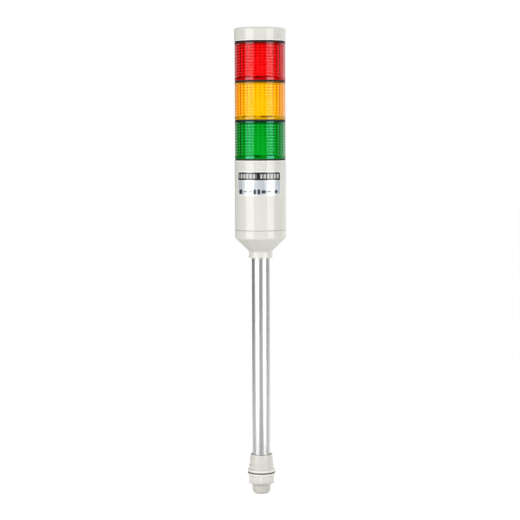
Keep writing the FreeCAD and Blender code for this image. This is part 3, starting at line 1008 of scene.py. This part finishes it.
# ---------------------------------------------------------------- foot
@dataclass
class Foot:
    """Moulded foot with its threaded stem, gasket, washer and nut."""

    bench: Bench
    thread_r: float = 10.0 * MM
    thread_depth: float = 0.9 * MM
    pitch: float = 1.5 * MM
    bore_r: float = 6.0 * MM
    end_wall: float = 1.7 * MM
    end_taper: float = 2.8 * MM
    flange_h: float = 2.3 * MM
    shoulder_rise: float = 0.9 * MM
    shoulder_r: float = 13.8 * MM
    shoulder_waist: float = 0.35 * MM
    shoulder_h: float = 4.4 * MM
    sleeve_r: float = 12.8 * MM
    rim_r: float = 11.85 * MM
    mouth_r: float = 11.4 * MM
    mouth_depth: float = 3.0 * MM
    sleeve_bow: float = 0.6 * MM
    pole_fit: float = 0.05 * MM
    washer_gap: float = 0.35 * MM
    thread_lap: float = 1.2 * MM

    def build(self, plastic: Material, rubber: Material) -> None:
        """Make the foot, the washer and the nut in plastic, and the gasket in rubber.

        Args:
            plastic: Finish of the foot, the washer and the nut.
            rubber: Finish of the gasket.
        """
        self._fitting(plastic)
        self._ring("panel_gasket", "foot_gasket", "light", "rubber_grey", rubber, 0.25 * MM)
        self._ring("clamp_washer", "flat_washer", "clamp_washer", "foot_plastic", plastic, 0.2 * MM)
        nut = self.bench.carry_over("mounting_nut", 0.22 * MM)
        self.bench.finish(nut, "hexagon_nut", "mounting_nut", "foot_plastic", ("mounting_nut",), plastic)

    def _ring(
        self, node: str, name: str, body: str, slot: str, material: Material, rounding: float
    ) -> None:
        """Flat ring around the stem with rounded rims.

        Args:
            node: The CAD node that it stands for.
            name: The piece's name.
            body: The body that it rides on.
            slot: The record's material slot.
            material: Its material.
            rounding: Rounding of its rims.
        """
        low, high = levels(node)
        inner, outer = self.thread_r + self.washer_gap, reach(node)
        mesh = self.bench.turn([
            (inner, low, rounding), (outer, low, rounding), (outer, high, rounding), (inner, high, rounding),
        ])
        self.bench.finish(mesh, name, body, slot, (node,), material)

    def _fitting(self, plastic: Material) -> None:
        """Flange, shoulder, sleeve and the stem with its thread, as one piece.

        Args:
            plastic: Finish of the foot.
        """
        low, high = levels("pole_fitting")
        gasket_top = levels("panel_gasket")[1]
        pole_seat = levels("pole")[0]
        flange_r = reach("pole_fitting")
        flange_top = gasket_top + self.flange_h
        shoulder_low = flange_top + self.shoulder_rise
        shoulder_top = shoulder_low + self.shoulder_h
        root_r = self.thread_r - self.thread_depth
        pole_fit_r = reach("pole") + self.pole_fit
        bow_r = (self.sleeve_r + self.rim_r) / 2 + self.sleeve_bow
        bow_z = (shoulder_top + high) / 2
        mesh = self.bench.turn([
            (root_r, gasket_top - self.thread_lap, 0),
            (root_r, gasket_top, 0),
            (flange_r, gasket_top, 0.15 * MM),
            (flange_r, flange_top, 0.4 * MM),
            (self.shoulder_r - self.shoulder_waist, shoulder_low, 0.35 * MM),
            (self.shoulder_r, shoulder_top, 0.45 * MM),
            (self.sleeve_r, shoulder_top + 0.05 * MM, 0.25 * MM),
            (bow_r, bow_z, 4.0 * MM),
            (self.rim_r, high, 0.2 * MM),
            (self.mouth_r, high, 0.12 * MM),
            (self.mouth_r, high - self.mouth_depth / 2, 0),
            (pole_fit_r, high - self.mouth_depth, 0),
            (pole_fit_r, pole_seat, 0),
            (self.bore_r, pole_seat, 0),
            (self.bore_r, gasket_top - self.thread_lap, 0),
        ])
        stem = self._stem(low, gasket_top)
        joined = bpy.data.meshes.new("stem_thread")
        stem.to_mesh(joined)
        stem.free()
        mesh.from_mesh(joined)
        bpy.data.meshes.remove(joined)
        self.bench.finish(mesh, "threaded_foot", "light", "foot_plastic", ("pole_fitting",), plastic)

    def _stem(self, low: float, top: float) -> Mesh:
        """Helical thread on the stem, cut off flat below and closed to the cable bore.

        Args:
            low: Height of the stem's lower end.
            top: Height that the thread runs up to.

        Returns:
            The stem's mesh.
        """
        thread = bmesh.new()
        turns = math.ceil((top - low) / self.pitch) + 3
        start = low - 2 * self.pitch
        root_r = self.thread_r - self.thread_depth
        crest_r = self.thread_r
        profile = ((root_r, 0.0), (root_r, 0.12), (crest_r, 0.44), (crest_r, 0.56), (root_r, 0.88))
        line = []
        for turn in range(turns):
            for radius, share in profile:
                line.append(thread.verts.new((radius, 0.0, start + (turn + share) * self.pitch)))
        edges = [thread.edges.new(pair) for pair in zip(line, line[1:])]
        bmesh.ops.spin(
            thread, geom=line + edges, cent=(0, 0, 0), axis=(0, 0, 1), dvec=(0, 0, self.pitch / ROUND_STEPS),
            angle=math.tau, steps=ROUND_STEPS, use_merge=False, use_duplicate=False,
        )
        bmesh.ops.remove_doubles(thread, verts=list(thread.verts), dist=THREAD_WELD)
        for height, side in ((low, 1), (top, -1)):
            bmesh.ops.bisect_plane(
                thread, geom=list(thread.verts) + list(thread.edges) + list(thread.faces), dist=CUT_REACH,
                plane_co=(0, 0, height), plane_no=(0, 0, -side), clear_outer=True,
            )
        end_r = self.bore_r + self.end_wall
        for vert in thread.verts:
            rise = vert.co.z - low
            if rise < self.end_taper:
                allowed = end_r + (self.thread_r - end_r) * rise / self.end_taper
                if radius_of(vert) > allowed:
                    move_to_radius(vert, allowed)
        open_edges = [edge for edge in thread.edges if edge.is_boundary]
        rim = [edge for edge in open_edges if all(abs(vert.co.z - low) < TURN_WELD for vert in edge.verts)]
        inner = bmesh.ops.extrude_edge_only(thread, edges=rim)["geom"]
        for item in inner:
            if isinstance(item, bmesh.types.BMVert):
                move_to_radius(item, self.bore_r)
        edges_in = [item for item in inner if isinstance(item, bmesh.types.BMEdge)]
        rising = bmesh.ops.extrude_edge_only(thread, edges=edges_in)["geom"]
        for item in rising:
            if isinstance(item, bmesh.types.BMVert):
                item.co.z = top - self.thread_lap
        bmesh.ops.recalc_face_normals(thread, faces=list(thread.faces))
        return thread


# ---------------------------------------------------------------- pole and cover
@dataclass
class Pole:
    """Aluminium tube between the foot and the cover."""

    bench: Bench
    wall: float = 1.45 * MM
    neck_cut: float = 0.65 * MM
    neck_rise: float = NECK_RISE

    def build(self, metal: Material) -> None:
        """Make the tube in metal.

        Args:
            metal: Finish of the tube.
        """
        low, high = levels("pole")
        outer = reach("pole")
        neck = levels("bottom_cover")[0] + self.neck_rise
        bore = outer - self.wall
        mesh = self.bench.turn([
            (bore, low, 0), (outer, low, 0.2 * MM), (outer, neck, 0.1 * MM),
            (outer - self.neck_cut, neck, 0), (outer - self.neck_cut, high, 0.2 * MM), (bore, high, 0),
        ])
        self.bench.finish(mesh, "pole_tube", "light", "pole_aluminium", ("pole",), metal)


@dataclass
class BottomCover:
    """Tapered cover that the housing stands on."""

    bench: Bench
    pole_fit_r: float = 9.85 * MM
    collar_r: float = 12.9 * MM
    collar_h: float = 7.5 * MM
    cone_h: float = 14.3 * MM
    wall: float = WALL
    neck_rise: float = NECK_RISE
    web_t: float = 3.0 * MM
    neck_fit_r: float = 9.2 * MM
    seam_edge: float = SEAM_EDGE
    spigot_wall: float = 2.2 * MM
    spigot_h: float = 6.0 * MM

    def build(self, plastic: Material) -> None:
        """Make the cover in plastic.

        Args:
            plastic: Finish of the cover.
        """
        low = levels("bottom_cover")[0]
        seam = levels("base_housing")[0]
        outer = reach("bottom_cover")
        cone_low = low + self.collar_h
        cone_top = cone_low + self.cone_h
        neck = low + self.neck_rise
        spigot_r = outer - self.wall - 0.05 * MM
        slope = (outer - self.collar_r) / self.cone_h
        inset = self.wall * math.hypot(1, slope)
        floor_z = neck - self.wall
        floor_r = self.collar_r + (floor_z - cone_low) * slope - inset
        bore_z = cone_low + (spigot_r - self.spigot_wall + inset - self.collar_r) / slope
        mesh = self.bench.turn([
            (self.pole_fit_r, low, 0.15 * MM),
            (self.collar_r, low, 0.7 * MM),
            (self.collar_r, cone_low, 0.8 * MM),
            (outer, cone_top, 1.2 * MM),
            (outer, seam - self.seam_edge, 0.1 * MM),
            (outer - self.seam_edge, seam, 0.1 * MM),
            (spigot_r, seam, 0),
            (spigot_r, seam + self.spigot_h, 0.2 * MM),
            (spigot_r - self.spigot_wall, seam + self.spigot_h, 0.2 * MM),
            (spigot_r - self.spigot_wall, bore_z, 0.5 * MM),
            (floor_r, floor_z, 0.3 * MM),
            (self.collar_r, floor_z, 0),
            (self.collar_r, neck + self.web_t, 0.2 * MM),
            (self.neck_fit_r, neck + self.web_t, 0),
            (self.neck_fit_r, neck, 0),
            (self.pole_fit_r, neck, 0),
        ])
        self.bench.finish(mesh, "tapered_cover", "light", "ivory_plastic", ("bottom_cover",), plastic)


# ---------------------------------------------------------------- housing
@dataclass
class Housing:
    """Round housing with its top bead and the label on its front."""

    bench: Bench
    wall: float = WALL
    lip_out: float = LIP_OUT
    lip_h: float = LIP_H
    deck_t: float = 2.6 * MM
    boss_r: float = 4.5 * MM
    boss_h: float = 12.0 * MM
    bolt_r: float = 2.05 * MM
    bolt_grip: float = 10.0 * MM
    seam_edge: float = SEAM_EDGE

    def build(self, plastic: Material, foil: Material) -> None:
        """Make the housing in plastic and its label in foil.

        Args:
            plastic: Finish of the housing.
            foil: Finish of the label.
        """
        low, top = levels("base_housing")
        outer = reach("base_housing")
        body_r = outer - self.lip_out
        bore = body_r - self.wall
        under = top - self.deck_t
        mesh = self.bench.turn([
            (bore, low, 0.15 * MM),
            (body_r - self.seam_edge, low, 0.1 * MM),
            (body_r, low + self.seam_edge, 0.1 * MM),
            (body_r, top - self.lip_h - 0.3 * MM, 0.15 * MM),
            (outer, top - self.lip_h + 0.05 * MM, 0.2 * MM),
            (outer, top, 0.3 * MM),
            (self.bolt_r, top, 0.1 * MM),
            (self.bolt_r, under - self.bolt_grip, 0),
            (0.0, under - self.bolt_grip, 0),
            (0.0, under - self.boss_h, 0),
            (self.boss_r, under - self.boss_h, 0.3 * MM),
            (self.boss_r, under, 0),
            (bore, under, 0.4 * MM),
        ])
        self.bench.finish(mesh, "round_housing", "light", "ivory_plastic", ("base_housing",), plastic)
        label = self.bench.carry_over("name_label")
        self.bench.finish(label, "front_label", "light", "label_foil", ("name_label",), foil)


# ---------------------------------------------------------------- light modules
class ModuleColour(Enum):
    """Colours of the modules, from the lowest to the highest."""

    GREEN = "green"
    YELLOW = "yellow"
    RED = "red"


@dataclass
class LightModule:
    """One module: seal, ribbed lens, and the LED board on its carrier."""

    bench: Bench
    colour: ModuleColour
    wall: float = 2.5 * MM
    pitch: float = RIB_PITCH
    groove: float = 0.65 * MM
    crest: float = 0.9 * MM
    grooves: int = 12
    top_band: float = RIB_TOP_BAND
    rebate: float = 0.75 * MM
    rebate_h: float = 1.6 * MM
    flute_foot: float = 4.8 * MM
    flute_head: float = 2.4 * MM
    valley_in: float = 0.3 * MM
    ridge_in: float = 0.9 * MM
    flutes: int = FLUTES

    def build(self, lens: Material, rubber: Material, inner: dict[str, Material]) -> None:
        """Make the module's pieces.

        Args:
            lens: Finish of the lens.
            rubber: Finish of the seal.
            inner: Finishes of the CAD nodes inside, by the end of their names.
        """
        name = self.colour.value
        build_seal(self.bench, f"{name}_seal", rubber)
        mesh = self._lens(f"{name}_lens")
        self.bench.finish(mesh, f"{name}_ribbed_lens", "light", f"{name}_lens", (f"{name}_lens",), lens)
        for part, material in inner.items():
            self.bench.dress(f"{name}_{part}", material)

    def _lens(self, node: str) -> Mesh:
        """Lens with rounded ribs outside and scalloped flutes inside.

        Args:
            node: The lens's CAD node.

        Returns:
            The lens's mesh.
        """
        low, top = levels(node)
        outer = reach(node)
        bore = outer - self.wall
        outline: list[Corner] = [
            (bore + self.rebate, low, 0),
            (outer, low, 0.3 * MM),
        ]
        for index in reversed(range(self.grooves)):
            middle = top - self.top_band - (index + 1) * self.pitch
            outline.append((outer, middle - self.crest / 2, 0.4 * MM))
            outline.append((outer, middle + self.crest / 2, 0.4 * MM))
            outline.append((outer - self.groove, middle + self.pitch / 2, 0.35 * MM))
        outline += [
            (outer, top - self.top_band, 0.3 * MM),
            (outer, top, 0.3 * MM),
            (bore, top, 0.1 * MM),
            (bore, top - self.flute_head, 0),
            (bore - self.ridge_in, top - self.flute_head, 0),
            (bore - self.ridge_in, low + self.flute_foot, 0),
            (bore, low + self.flute_foot, 0),
            (bore, low + self.rebate_h, 0),
            (bore + self.rebate, low + self.rebate_h, 0),
        ]
        mesh = self.bench.turn(outline, self.flutes * 4)
        middle = (self.ridge_in + self.valley_in) / 2
        swing = (self.ridge_in - self.valley_in) / 2
        for vert in mesh.verts:
            if radius_of(vert) < bore - 0.5 * self.ridge_in:
                turn = math.atan2(vert.co.x, vert.co.y)
                move_to_radius(vert, bore - middle - swing * math.cos(turn * self.flutes))
        return mesh


def build_seal(bench: Bench, node: str, rubber: Material, inner: float = 24.2 * MM) -> None:
    """Flat rubber ring that stands for a CAD seal between two modules.

    Args:
        bench: Where the mesh is made.
        node: The CAD node that it stands for.
        rubber: Its finish.
        inner: Inside radius of the ring.
    """
    low, high = levels(node)
    outer = reach(node)
    edge = 0.2 * MM
    mesh = bench.turn([(inner, low, 0), (outer, low, edge), (outer, high, edge), (inner, high, 0)])
    bench.finish(mesh, f"{node}_ring", "light", "rubber_black", (node,), rubber)


# ---------------------------------------------------------------- cap
@dataclass
class HeadCap:
    """Cap with a rounded top edge and a counterbore for the tie bolt."""

    bench: Bench
    wall: float = WALL
    lip_out: float = LIP_OUT
    lip_h: float = LIP_H
    edge: float = 2.2 * MM
    bolt_gap_r: float = 2.3 * MM
    counterbore_r: float = 4.9 * MM
    counterbore_depth: float = 5.0 * MM
    boss_wall: float = 2.0 * MM
    boss_h: float = 9.0 * MM

    def build(self, plastic: Material, rubber: Material, metal: Material) -> None:
        """Make the cap in plastic, its seal in rubber and its bolt in metal.

        Args:
            plastic: Finish of the cap.
            rubber: Finish of the seal and of the bolt's washer.
            metal: Finish of the bolt.
        """
        build_seal(self.bench, "cap_seal", rubber)
        low, top = levels("head_cap")
        outer = reach("head_cap")
        body_r = outer - self.lip_out
        boss_r = self.counterbore_r + self.boss_wall
        under = top - self.wall
        mesh = self.bench.turn([
            (self.bolt_gap_r, top - self.boss_h, 0),
            (boss_r, top - self.boss_h, 0.3 * MM),
            (boss_r, under, 0.3 * MM),
            (body_r - self.wall, under, 0.5 * MM),
            (body_r - self.wall, low, 0.15 * MM),
            (outer, low, 0.3 * MM),
            (outer, low + self.lip_h - 0.05 * MM, 0.2 * MM),
            (body_r, low + self.lip_h + 0.3 * MM, 0.15 * MM),
            (body_r, top, self.edge),
            (self.counterbore_r, top, 0.35 * MM),
            (self.counterbore_r, top - self.counterbore_depth, 0),
            (self.bolt_gap_r, top - self.counterbore_depth, 0),
        ])
        self.bench.finish(mesh, "round_cap", "light", "ivory_plastic", ("head_cap",), plastic)
        bolt = self.bench.carry_over("tie_bolt", 0.2 * MM)
        self.bench.finish(bolt, "hexagon_bolt", "light", "zinc_steel", ("tie_bolt",), metal)
        self.bench.dress("bolt_washer", rubber)


# ---------------------------------------------------------------- studio
@dataclass(frozen=True)
class Softbox:
    """Upright rectangular lamp that looks at the light's axis.

    Args:
        name: The lamp's name.
        azimuth: Direction from the front, in degrees, to the right.
        width: Width of the lamp.
        height: Height of the lamp.
        distance: Distance from the axis.
        middle: Height of its middle.
        radiance: Brightness of its face, where 1 is white.
    """

    name: str
    azimuth: float
    width: float
    height: float = 1.45
    distance: float = 1.35
    middle: float = 0.33
    radiance: float = 3.0

    def hang(self) -> None:
        """Put the lamp in the scene."""
        lamp = bpy.data.lights.new(self.name, "AREA")
        lamp.shape = "RECTANGLE"
        lamp.size = self.width
        lamp.size_y = self.height
        lamp.energy = self.radiance * math.pi * self.width * self.height
        holder = bpy.data.objects.new(self.name, lamp)
        angle = math.radians(self.azimuth)
        holder.location = (self.distance * math.sin(angle), -self.distance * math.cos(angle), self.middle)
        holder.rotation_euler = Euler((math.radians(90), 0, angle))
        bpy.context.scene.collection.objects.link(holder)


@dataclass
class Studio:
    """Floor, backdrop light, lamps and camera."""

    front_fill: float = 0.34
    left_fill: float = 1.0
    right_fill: float = 2.3
    floor_side: float = 8.0
    camera_x: float = -0.0008
    camera_y: float = -1.691
    camera_z: float = 0.3687
    camera_tilt: float = 4.49
    camera_roll: float = 0.22
    focal: float = 107.0

    def build(self) -> None:
        """Make the whole set."""
        self._world()
        self._floor()
        Softbox("left_softbox", -49.5, 0.96).hang()
        Softbox("right_softbox", 46.9, 0.8).hang()
        self._camera()

    def _world(self) -> None:
        """White for the camera, a soft room in reflections, and plain fill light."""
        world = bpy.data.worlds.new("studio_room")
        bpy.context.scene.world = world
        world.use_nodes = True
        board = NodeBoard(world.node_tree)
        world.node_tree.nodes.clear()
        path = board.place("ShaderNodeLightPath")
        right, back, up = board.axes(board.place("ShaderNodeTexCoord").outputs["Generated"])
        turn = board.maths("ARCTAN2", right, board.times(back, -1.0))
        degrees = board.times(turn, 180 / math.pi)
        tone = board.blend(board.span(degrees, -160.0, -126.0, 1.0, 0.0), grey(0.005), grey(0.3))
        tone = board.blend(board.span(degrees, 93.0, 112.0), tone, grey(0.42))
        tone = board.blend(board.span(degrees, 112.0, 140.0), tone, grey(0.68))
        tone = board.blend(board.band(up, -0.31, -0.2, 0.04), tone, grey(1.3))
        left = board.span(degrees, -160.0, -85.0, 1.0, 0.0)
        fill = board.blend(left, grey(self.front_fill), grey(self.left_fill))
        fill = board.blend(board.span(degrees, 85.0, 160.0), fill, grey(self.right_fill))
        white = rgba((1.0, 1.0, 1.0))
        seen = board.blend(path.outputs["Is Glossy Ray"], fill, tone)
        plain = board.larger(path.outputs["Is Camera Ray"], path.outputs["Is Transmission Ray"])
        light = board.place("ShaderNodeBackground", Color=board.blend(plain, seen, white), Strength=1.0)
        end = board.place("ShaderNodeOutputWorld")
        board.feed(end.inputs["Surface"], light.outputs[0])

    def _floor(self) -> None:
        """Pale floor under the stem's end, which keeps the light's shadow."""
        mesh = bmesh.new()
        bmesh.ops.create_grid(mesh, x_segments=4, y_segments=4, size=self.floor_side)
        bmesh.ops.translate(mesh, verts=list(mesh.verts), vec=(0, 0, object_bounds()[0].z - 0.2 * MM))
        data = bpy.data.meshes.new("floor")
        mesh.to_mesh(data)
        mesh.free()
        material = bpy.data.materials.new("pale_floor")
        material.use_nodes = True
        board = NodeBoard(material.node_tree)
        material.node_tree.nodes.clear()
        path = board.place("ShaderNodeLightPath")
        paint = board.place("ShaderNodeBsdfDiffuse", Color=grey(0.45))
        glow = board.place("ShaderNodeEmission", Color=grey(1.0), Strength=1.17)
        both = board.place("ShaderNodeMixShader")
        share = board.times(path.outputs["Is Camera Ray"], 0.8)
        board.fill(both, share, paint.outputs[0], glow.outputs[0])
        open_floor = board.place("ShaderNodeBsdfTransparent")
        surface = board.place("ShaderNodeMixShader")
        board.fill(surface, path.outputs["Is Glossy Ray"], both.outputs[0], open_floor.outputs[0])
        end = board.place("ShaderNodeOutputMaterial")
        board.feed(end.inputs["Surface"], surface.outputs[0])
        data.materials.append(material)
        floor = bpy.data.objects.new("floor", data)
        floor.visible_shadow = False
        bpy.context.scene.collection.objects.link(floor)
        floor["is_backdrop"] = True

    def _camera(self) -> None:
        """Long lens in front of the light, a little above its middle and tilted down."""
        data = bpy.data.cameras.new("front_camera")
        data.lens = self.focal
        data.sensor_width = 36.0
        camera = bpy.data.objects.new("front_camera", data)
        turn = Euler((math.radians(90 - self.camera_tilt), 0, 0)).to_matrix().to_4x4()
        roll = Matrix.Rotation(math.radians(-self.camera_roll), 4, "Z")
        camera.matrix_world = Matrix.Translation((self.camera_x, self.camera_y, self.camera_z)) @ turn @ roll
        bpy.context.scene.collection.objects.link(camera)
        bpy.context.scene.camera = camera


# ---------------------------------------------------------------- all together
@dataclass
class Palette:
    """Every finish that more than one piece wears."""

    ivory: Material
    foot: Material
    grey_rubber: Material
    black_rubber: Material
    aluminium: Material
    zinc: Material


def mix_palette() -> Palette:
    """Build the shared finishes.

    Returns:
        The palette.
    """
    # Colours of painted highlight: the bright lines on the beads, and on the foot's flange and washer rims.
    pale, rim_highlight = from_screen(253, 252, 248), from_screen(246, 245, 240)
    seam, bead = levels("base_housing")
    lip = levels("head_cap")[0]
    rings = (
        # Painted highlight lines on the housing's top bead and the cap's lower lip.
        (bead - 1.0 * MM, bead + 0.1 * MM, pale),
        (lip - 0.1 * MM, lip + 0.9 * MM, pale),
        # Painted shade in the groove of the seam between cover and housing.
        (seam - 0.55 * MM, seam + 0.55 * MM, from_screen(204, 203, 194)),
    )
    foot_rings = (
        # Painted highlight on the washer's rim and on the flange's rim.
        (-1.7 * MM, 0.0, rim_highlight), (1.7 * MM, 3.6 * MM, rim_highlight),
        # Painted light: the stem below the nut is made lighter.
        (-30.0 * MM, -12.9 * MM, from_screen(223, 221, 214)),
    )
    finishes = (
        MouldedPlastic(
            "ivory_plastic", from_screen(226, 225, 217), from_screen(220, 218, 210), 0.16, 0.00001, 0.2,
            edge_gain=1.15, rings=rings,
        ),
        MouldedPlastic(
            "foot_plastic", from_screen(221, 219, 211), from_screen(215, 212, 204), 0.3, 0.00002, 0.0,
            edge_gain=1.15, rings=foot_rings,
        ),
        Rubber("grey_rubber", from_screen(88, 85, 77), from_screen(112, 108, 100)),
        Rubber("black_rubber", from_screen(24, 24, 25), from_screen(48, 48, 48)),
        BareMetal("drawn_aluminium", (0.82, 0.82, 0.82), (0.74, 0.74, 0.74), 0.37, metallic=0.85),
        BareMetal("zinc_plate", (0.78, 0.79, 0.8), (0.66, 0.67, 0.68), 0.35, 500.0, 500.0),
    )
    return Palette(*(finish.build() for finish in finishes))


def lens_finish(colour: ModuleColour) -> TintedLens:
    """Finish of a module's lens.

    Args:
        colour: The module's colour.

    Returns:
        The finish, not yet built.
    """
    name = f"{colour.value}_lens"
    low, high = levels(name)
    # Each lens's own colour, then the colours of its painted shade: along flutes, valleys and sides, and at
    # the seals.
    colours = {
        ModuleColour.RED: ((255, 3, 5), (118, 0, 0), (36, 0, 0)),
        ModuleColour.YELLOW: ((255, 196, 0), (220, 88, 0), (92, 46, 0)),
        ModuleColour.GREEN: ((0, 176, 30), (0, 46, 2), (0, 20, 4)),
    }
    bright, deep, dark = (from_screen(*values) for values in colours[colour])
    # Painted glow strength, painted shade under the seal, then reflection strength, coat weight and
    # reflection tint.
    glow, crown, polish, coat, sheen = {
        ModuleColour.RED: (0.08, 0.6, 0.45, 0.5, (1.0, 0.75, 0.8)),
        ModuleColour.YELLOW: (0.17, 0.3, 0.45, 0.45, (1.0, 0.95, 0.55)),
        ModuleColour.GREEN: (0.08, 0.85, 1.0, 0.4, (0.1, 1.0, 0.75)),
    }[colour]
    return TintedLens(
        name, bright, deep, dark, low, high, glow=glow, crown=crown, polish=polish, coat=coat, sheen=sheen
    )


Screen = tuple[int, int, int]


def plastic(
    name: str, colour: Screen, shade: Screen, roughness: float = 0.35, dust: float = 0.1
) -> Material:
    """Plain moulded plastic from two screen colours."""
    return MouldedPlastic(name, from_screen(*colour), from_screen(*shade), roughness, dust=dust).build()


def lacquer(name: str, colour: Screen, track: Screen) -> Material:
    """Board lacquer from two screen colours."""
    return CircuitBoard(name, from_screen(*colour), from_screen(*track)).build()


def dress_electronics(bench: Bench) -> dict[str, Material]:
    """Dress the boards and what is on them.

    Args:
        bench: The bench that dresses CAD nodes.

    Returns:
        Finishes of the nodes inside each module, by the end of their names.
    """
    black = plastic("component_black", (38, 38, 40), (28, 28, 30), 0.5, 0.05)
    for node, material in (
        ("main_board", lacquer("green_board", (22, 92, 58), (34, 118, 74))),
        ("terminal_block", plastic("terminal_green", (60, 150, 95), (50, 135, 85))),
        ("terminal_levers", plastic("lever_orange", (235, 130, 45), (220, 115, 35))),
        ("board_parts", black),
        ("module_leads", plastic("lead_sleeve", (200, 40, 36), (180, 30, 28), 0.45)),
    ):
        bench.dress(node, material)
    return {
        "led_carrier": plastic("white_carrier", (244, 244, 242), (236, 236, 233)),
        "led_board": lacquer("white_board", (240, 241, 238), (228, 230, 226)),
        "leds": LedPackage("led_package", from_screen(244, 243, 236), from_screen(238, 214, 96)).build(),
        "resistors": black,
    }


def main() -> None:
    """Build the light, its finishes and the studio."""
    logging.basicConfig(level=logging.INFO, format="%(name)s: %(message)s")
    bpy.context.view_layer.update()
    bench = Bench()
    palette = mix_palette()
    Foot(bench).build(palette.foot, palette.grey_rubber)
    Pole(bench).build(palette.aluminium)
    BottomCover(bench).build(palette.ivory)
    low, high = levels("name_label")
    foil = PrintedFoil("printed_foil", 28.2 * MM, low, high).build()
    Housing(bench).build(palette.ivory, foil)
    inner = dress_electronics(bench)
    for colour in ModuleColour:
        LightModule(bench, colour).build(lens_finish(colour).build(), palette.black_rubber, inner)
    HeadCap(bench).build(palette.ivory, palette.black_rubber, palette.zinc)
    for node in ("pole_washer", "pole_lock_nut"):
        bench.dress(node, palette.zinc)
    bench.dress("cover_seal", palette.black_rubber)
    Studio().build()
    scene = bpy.context.scene
    scene.view_settings.view_transform = "Standard"


if __name__ == "__main__":
    main()
